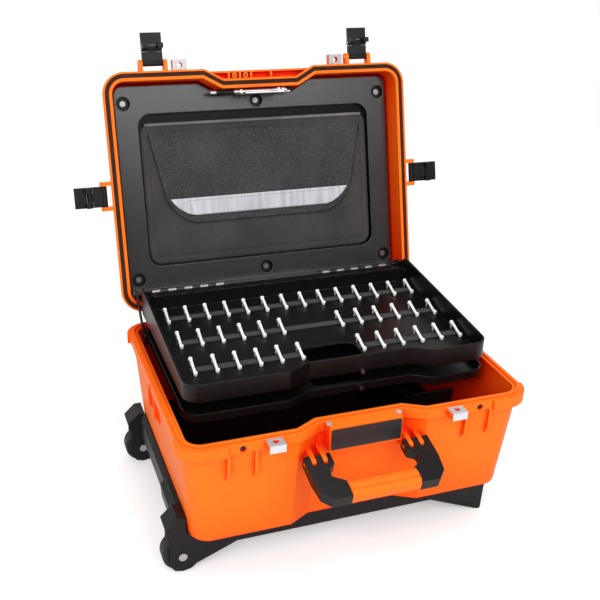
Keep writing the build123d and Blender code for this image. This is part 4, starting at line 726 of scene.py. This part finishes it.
def make_stage():
    """A floor that bends up into a backdrop."""
    mesh = bmesh.new()
    half, front, back, bend, wall, steps = 6.0, -4.0, 3.2, 1.2, 4.0, 12
    profile = [(front, 0.0), (back - bend, 0.0)]
    for k in range(1, steps + 1):
        turn = pi / 2 * k / steps
        profile.append((back - bend + bend * sin(turn), bend - bend * cos(turn)))
    profile += [(back, wall)]
    rows = [[mesh.verts.new((x, y, z)) for x in (-half, half)] for y, z in profile]
    for low, high in zip(rows, rows[1:]):
        mesh.faces.new((low[0], low[1], high[1], high[0]))
    data = bpy.data.meshes.new("floor")
    mesh.to_mesh(data)
    mesh.free()
    data.materials.append(stage_material("pale_floor", (0.86, 0.86, 0.86)))
    for polygon in data.polygons:
        polygon.use_smooth = True
    floor = bpy.data.objects.new("floor", data)
    bpy.context.scene.collection.objects.link(floor)


def lamp(name, place, target, size, power, size_y=None):
    """An area lamp at a place, turned to its target."""
    data = bpy.data.lights.new(name, "AREA")
    data.shape = "RECTANGLE"
    data.size = size
    data.size_y = size_y or size
    data.energy = power
    made = bpy.data.objects.new(name, data)
    made.location = place
    made.rotation_euler = (Vector(target) - Vector(place)).to_track_quat("-Z", "Y").to_euler()
    bpy.context.scene.collection.objects.link(made)


def make_world():
    """White all round: softer for shine than for light, and full white where the camera sees it."""
    world = bpy.data.worlds.new("studio")
    bpy.context.scene.world = world
    world.use_nodes = True
    tree = world.node_tree
    tree.nodes.clear()
    rays = tree.nodes.new("ShaderNodeLightPath")
    strength = None
    for ray, wanted in (("Is Camera Ray", WORLD_SEEN), ("Is Glossy Ray", WORLD_SHINE)):
        level = tree.nodes.new("ShaderNodeMath")
        level.operation = "MULTIPLY_ADD"
        tree.links.new(rays.outputs[ray], level.inputs[0])
        level.inputs[1].default_value = wanted - WORLD_LIGHT
        if strength is None:
            level.inputs[2].default_value = WORLD_LIGHT
        else:
            tree.links.new(strength, level.inputs[2])
        strength = level.outputs[0]
    light = tree.nodes.new("ShaderNodeBackground")
    light.inputs["Color"].default_value = (1, 1, 1, 1)
    tree.links.new(strength, light.inputs["Strength"])
    output = tree.nodes.new("ShaderNodeOutputWorld")
    tree.links.new(light.outputs[0], output.inputs[0])


def make_camera():
    """The camera at the place, the direction and the roll given above."""
    data = bpy.data.cameras.new("camera")
    data.sensor_width = CAMERA_SENSOR
    data.lens = CAMERA_LENS
    data.clip_end = 50
    ahead = Vector((sin(CAMERA_YAW) * cos(CAMERA_PITCH), cos(CAMERA_YAW) * cos(CAMERA_PITCH), -sin(CAMERA_PITCH)))
    level = Vector((cos(CAMERA_YAW), -sin(CAMERA_YAW), 0))
    above = level.cross(ahead)
    right = level * cos(CAMERA_ROLL) + above * sin(CAMERA_ROLL)
    up = above * cos(CAMERA_ROLL) - level * sin(CAMERA_ROLL)
    made = bpy.data.objects.new("camera", data)
    turn = Matrix((right, up, -ahead)).transposed().to_4x4()
    made.matrix_world = Matrix.Translation(CAMERA_PLACE) @ turn
    bpy.context.scene.collection.objects.link(made)
    bpy.context.scene.camera = made


make_stage()
make_world()
lamp("key", (-1.7, -2.2, 2.3), (0, 0, 0.25), 1.6, 50)
lamp("front", (0.7, -2.8, 2.0), (0, 0, 0.45), 2.0, 31, size_y=1.0)
lamp("top", (0.2, 0.1, 2.6), (0, 0, 0.2), 1.4, 16)
make_camera()
bpy.context.scene.view_settings.view_transform = "Standard"
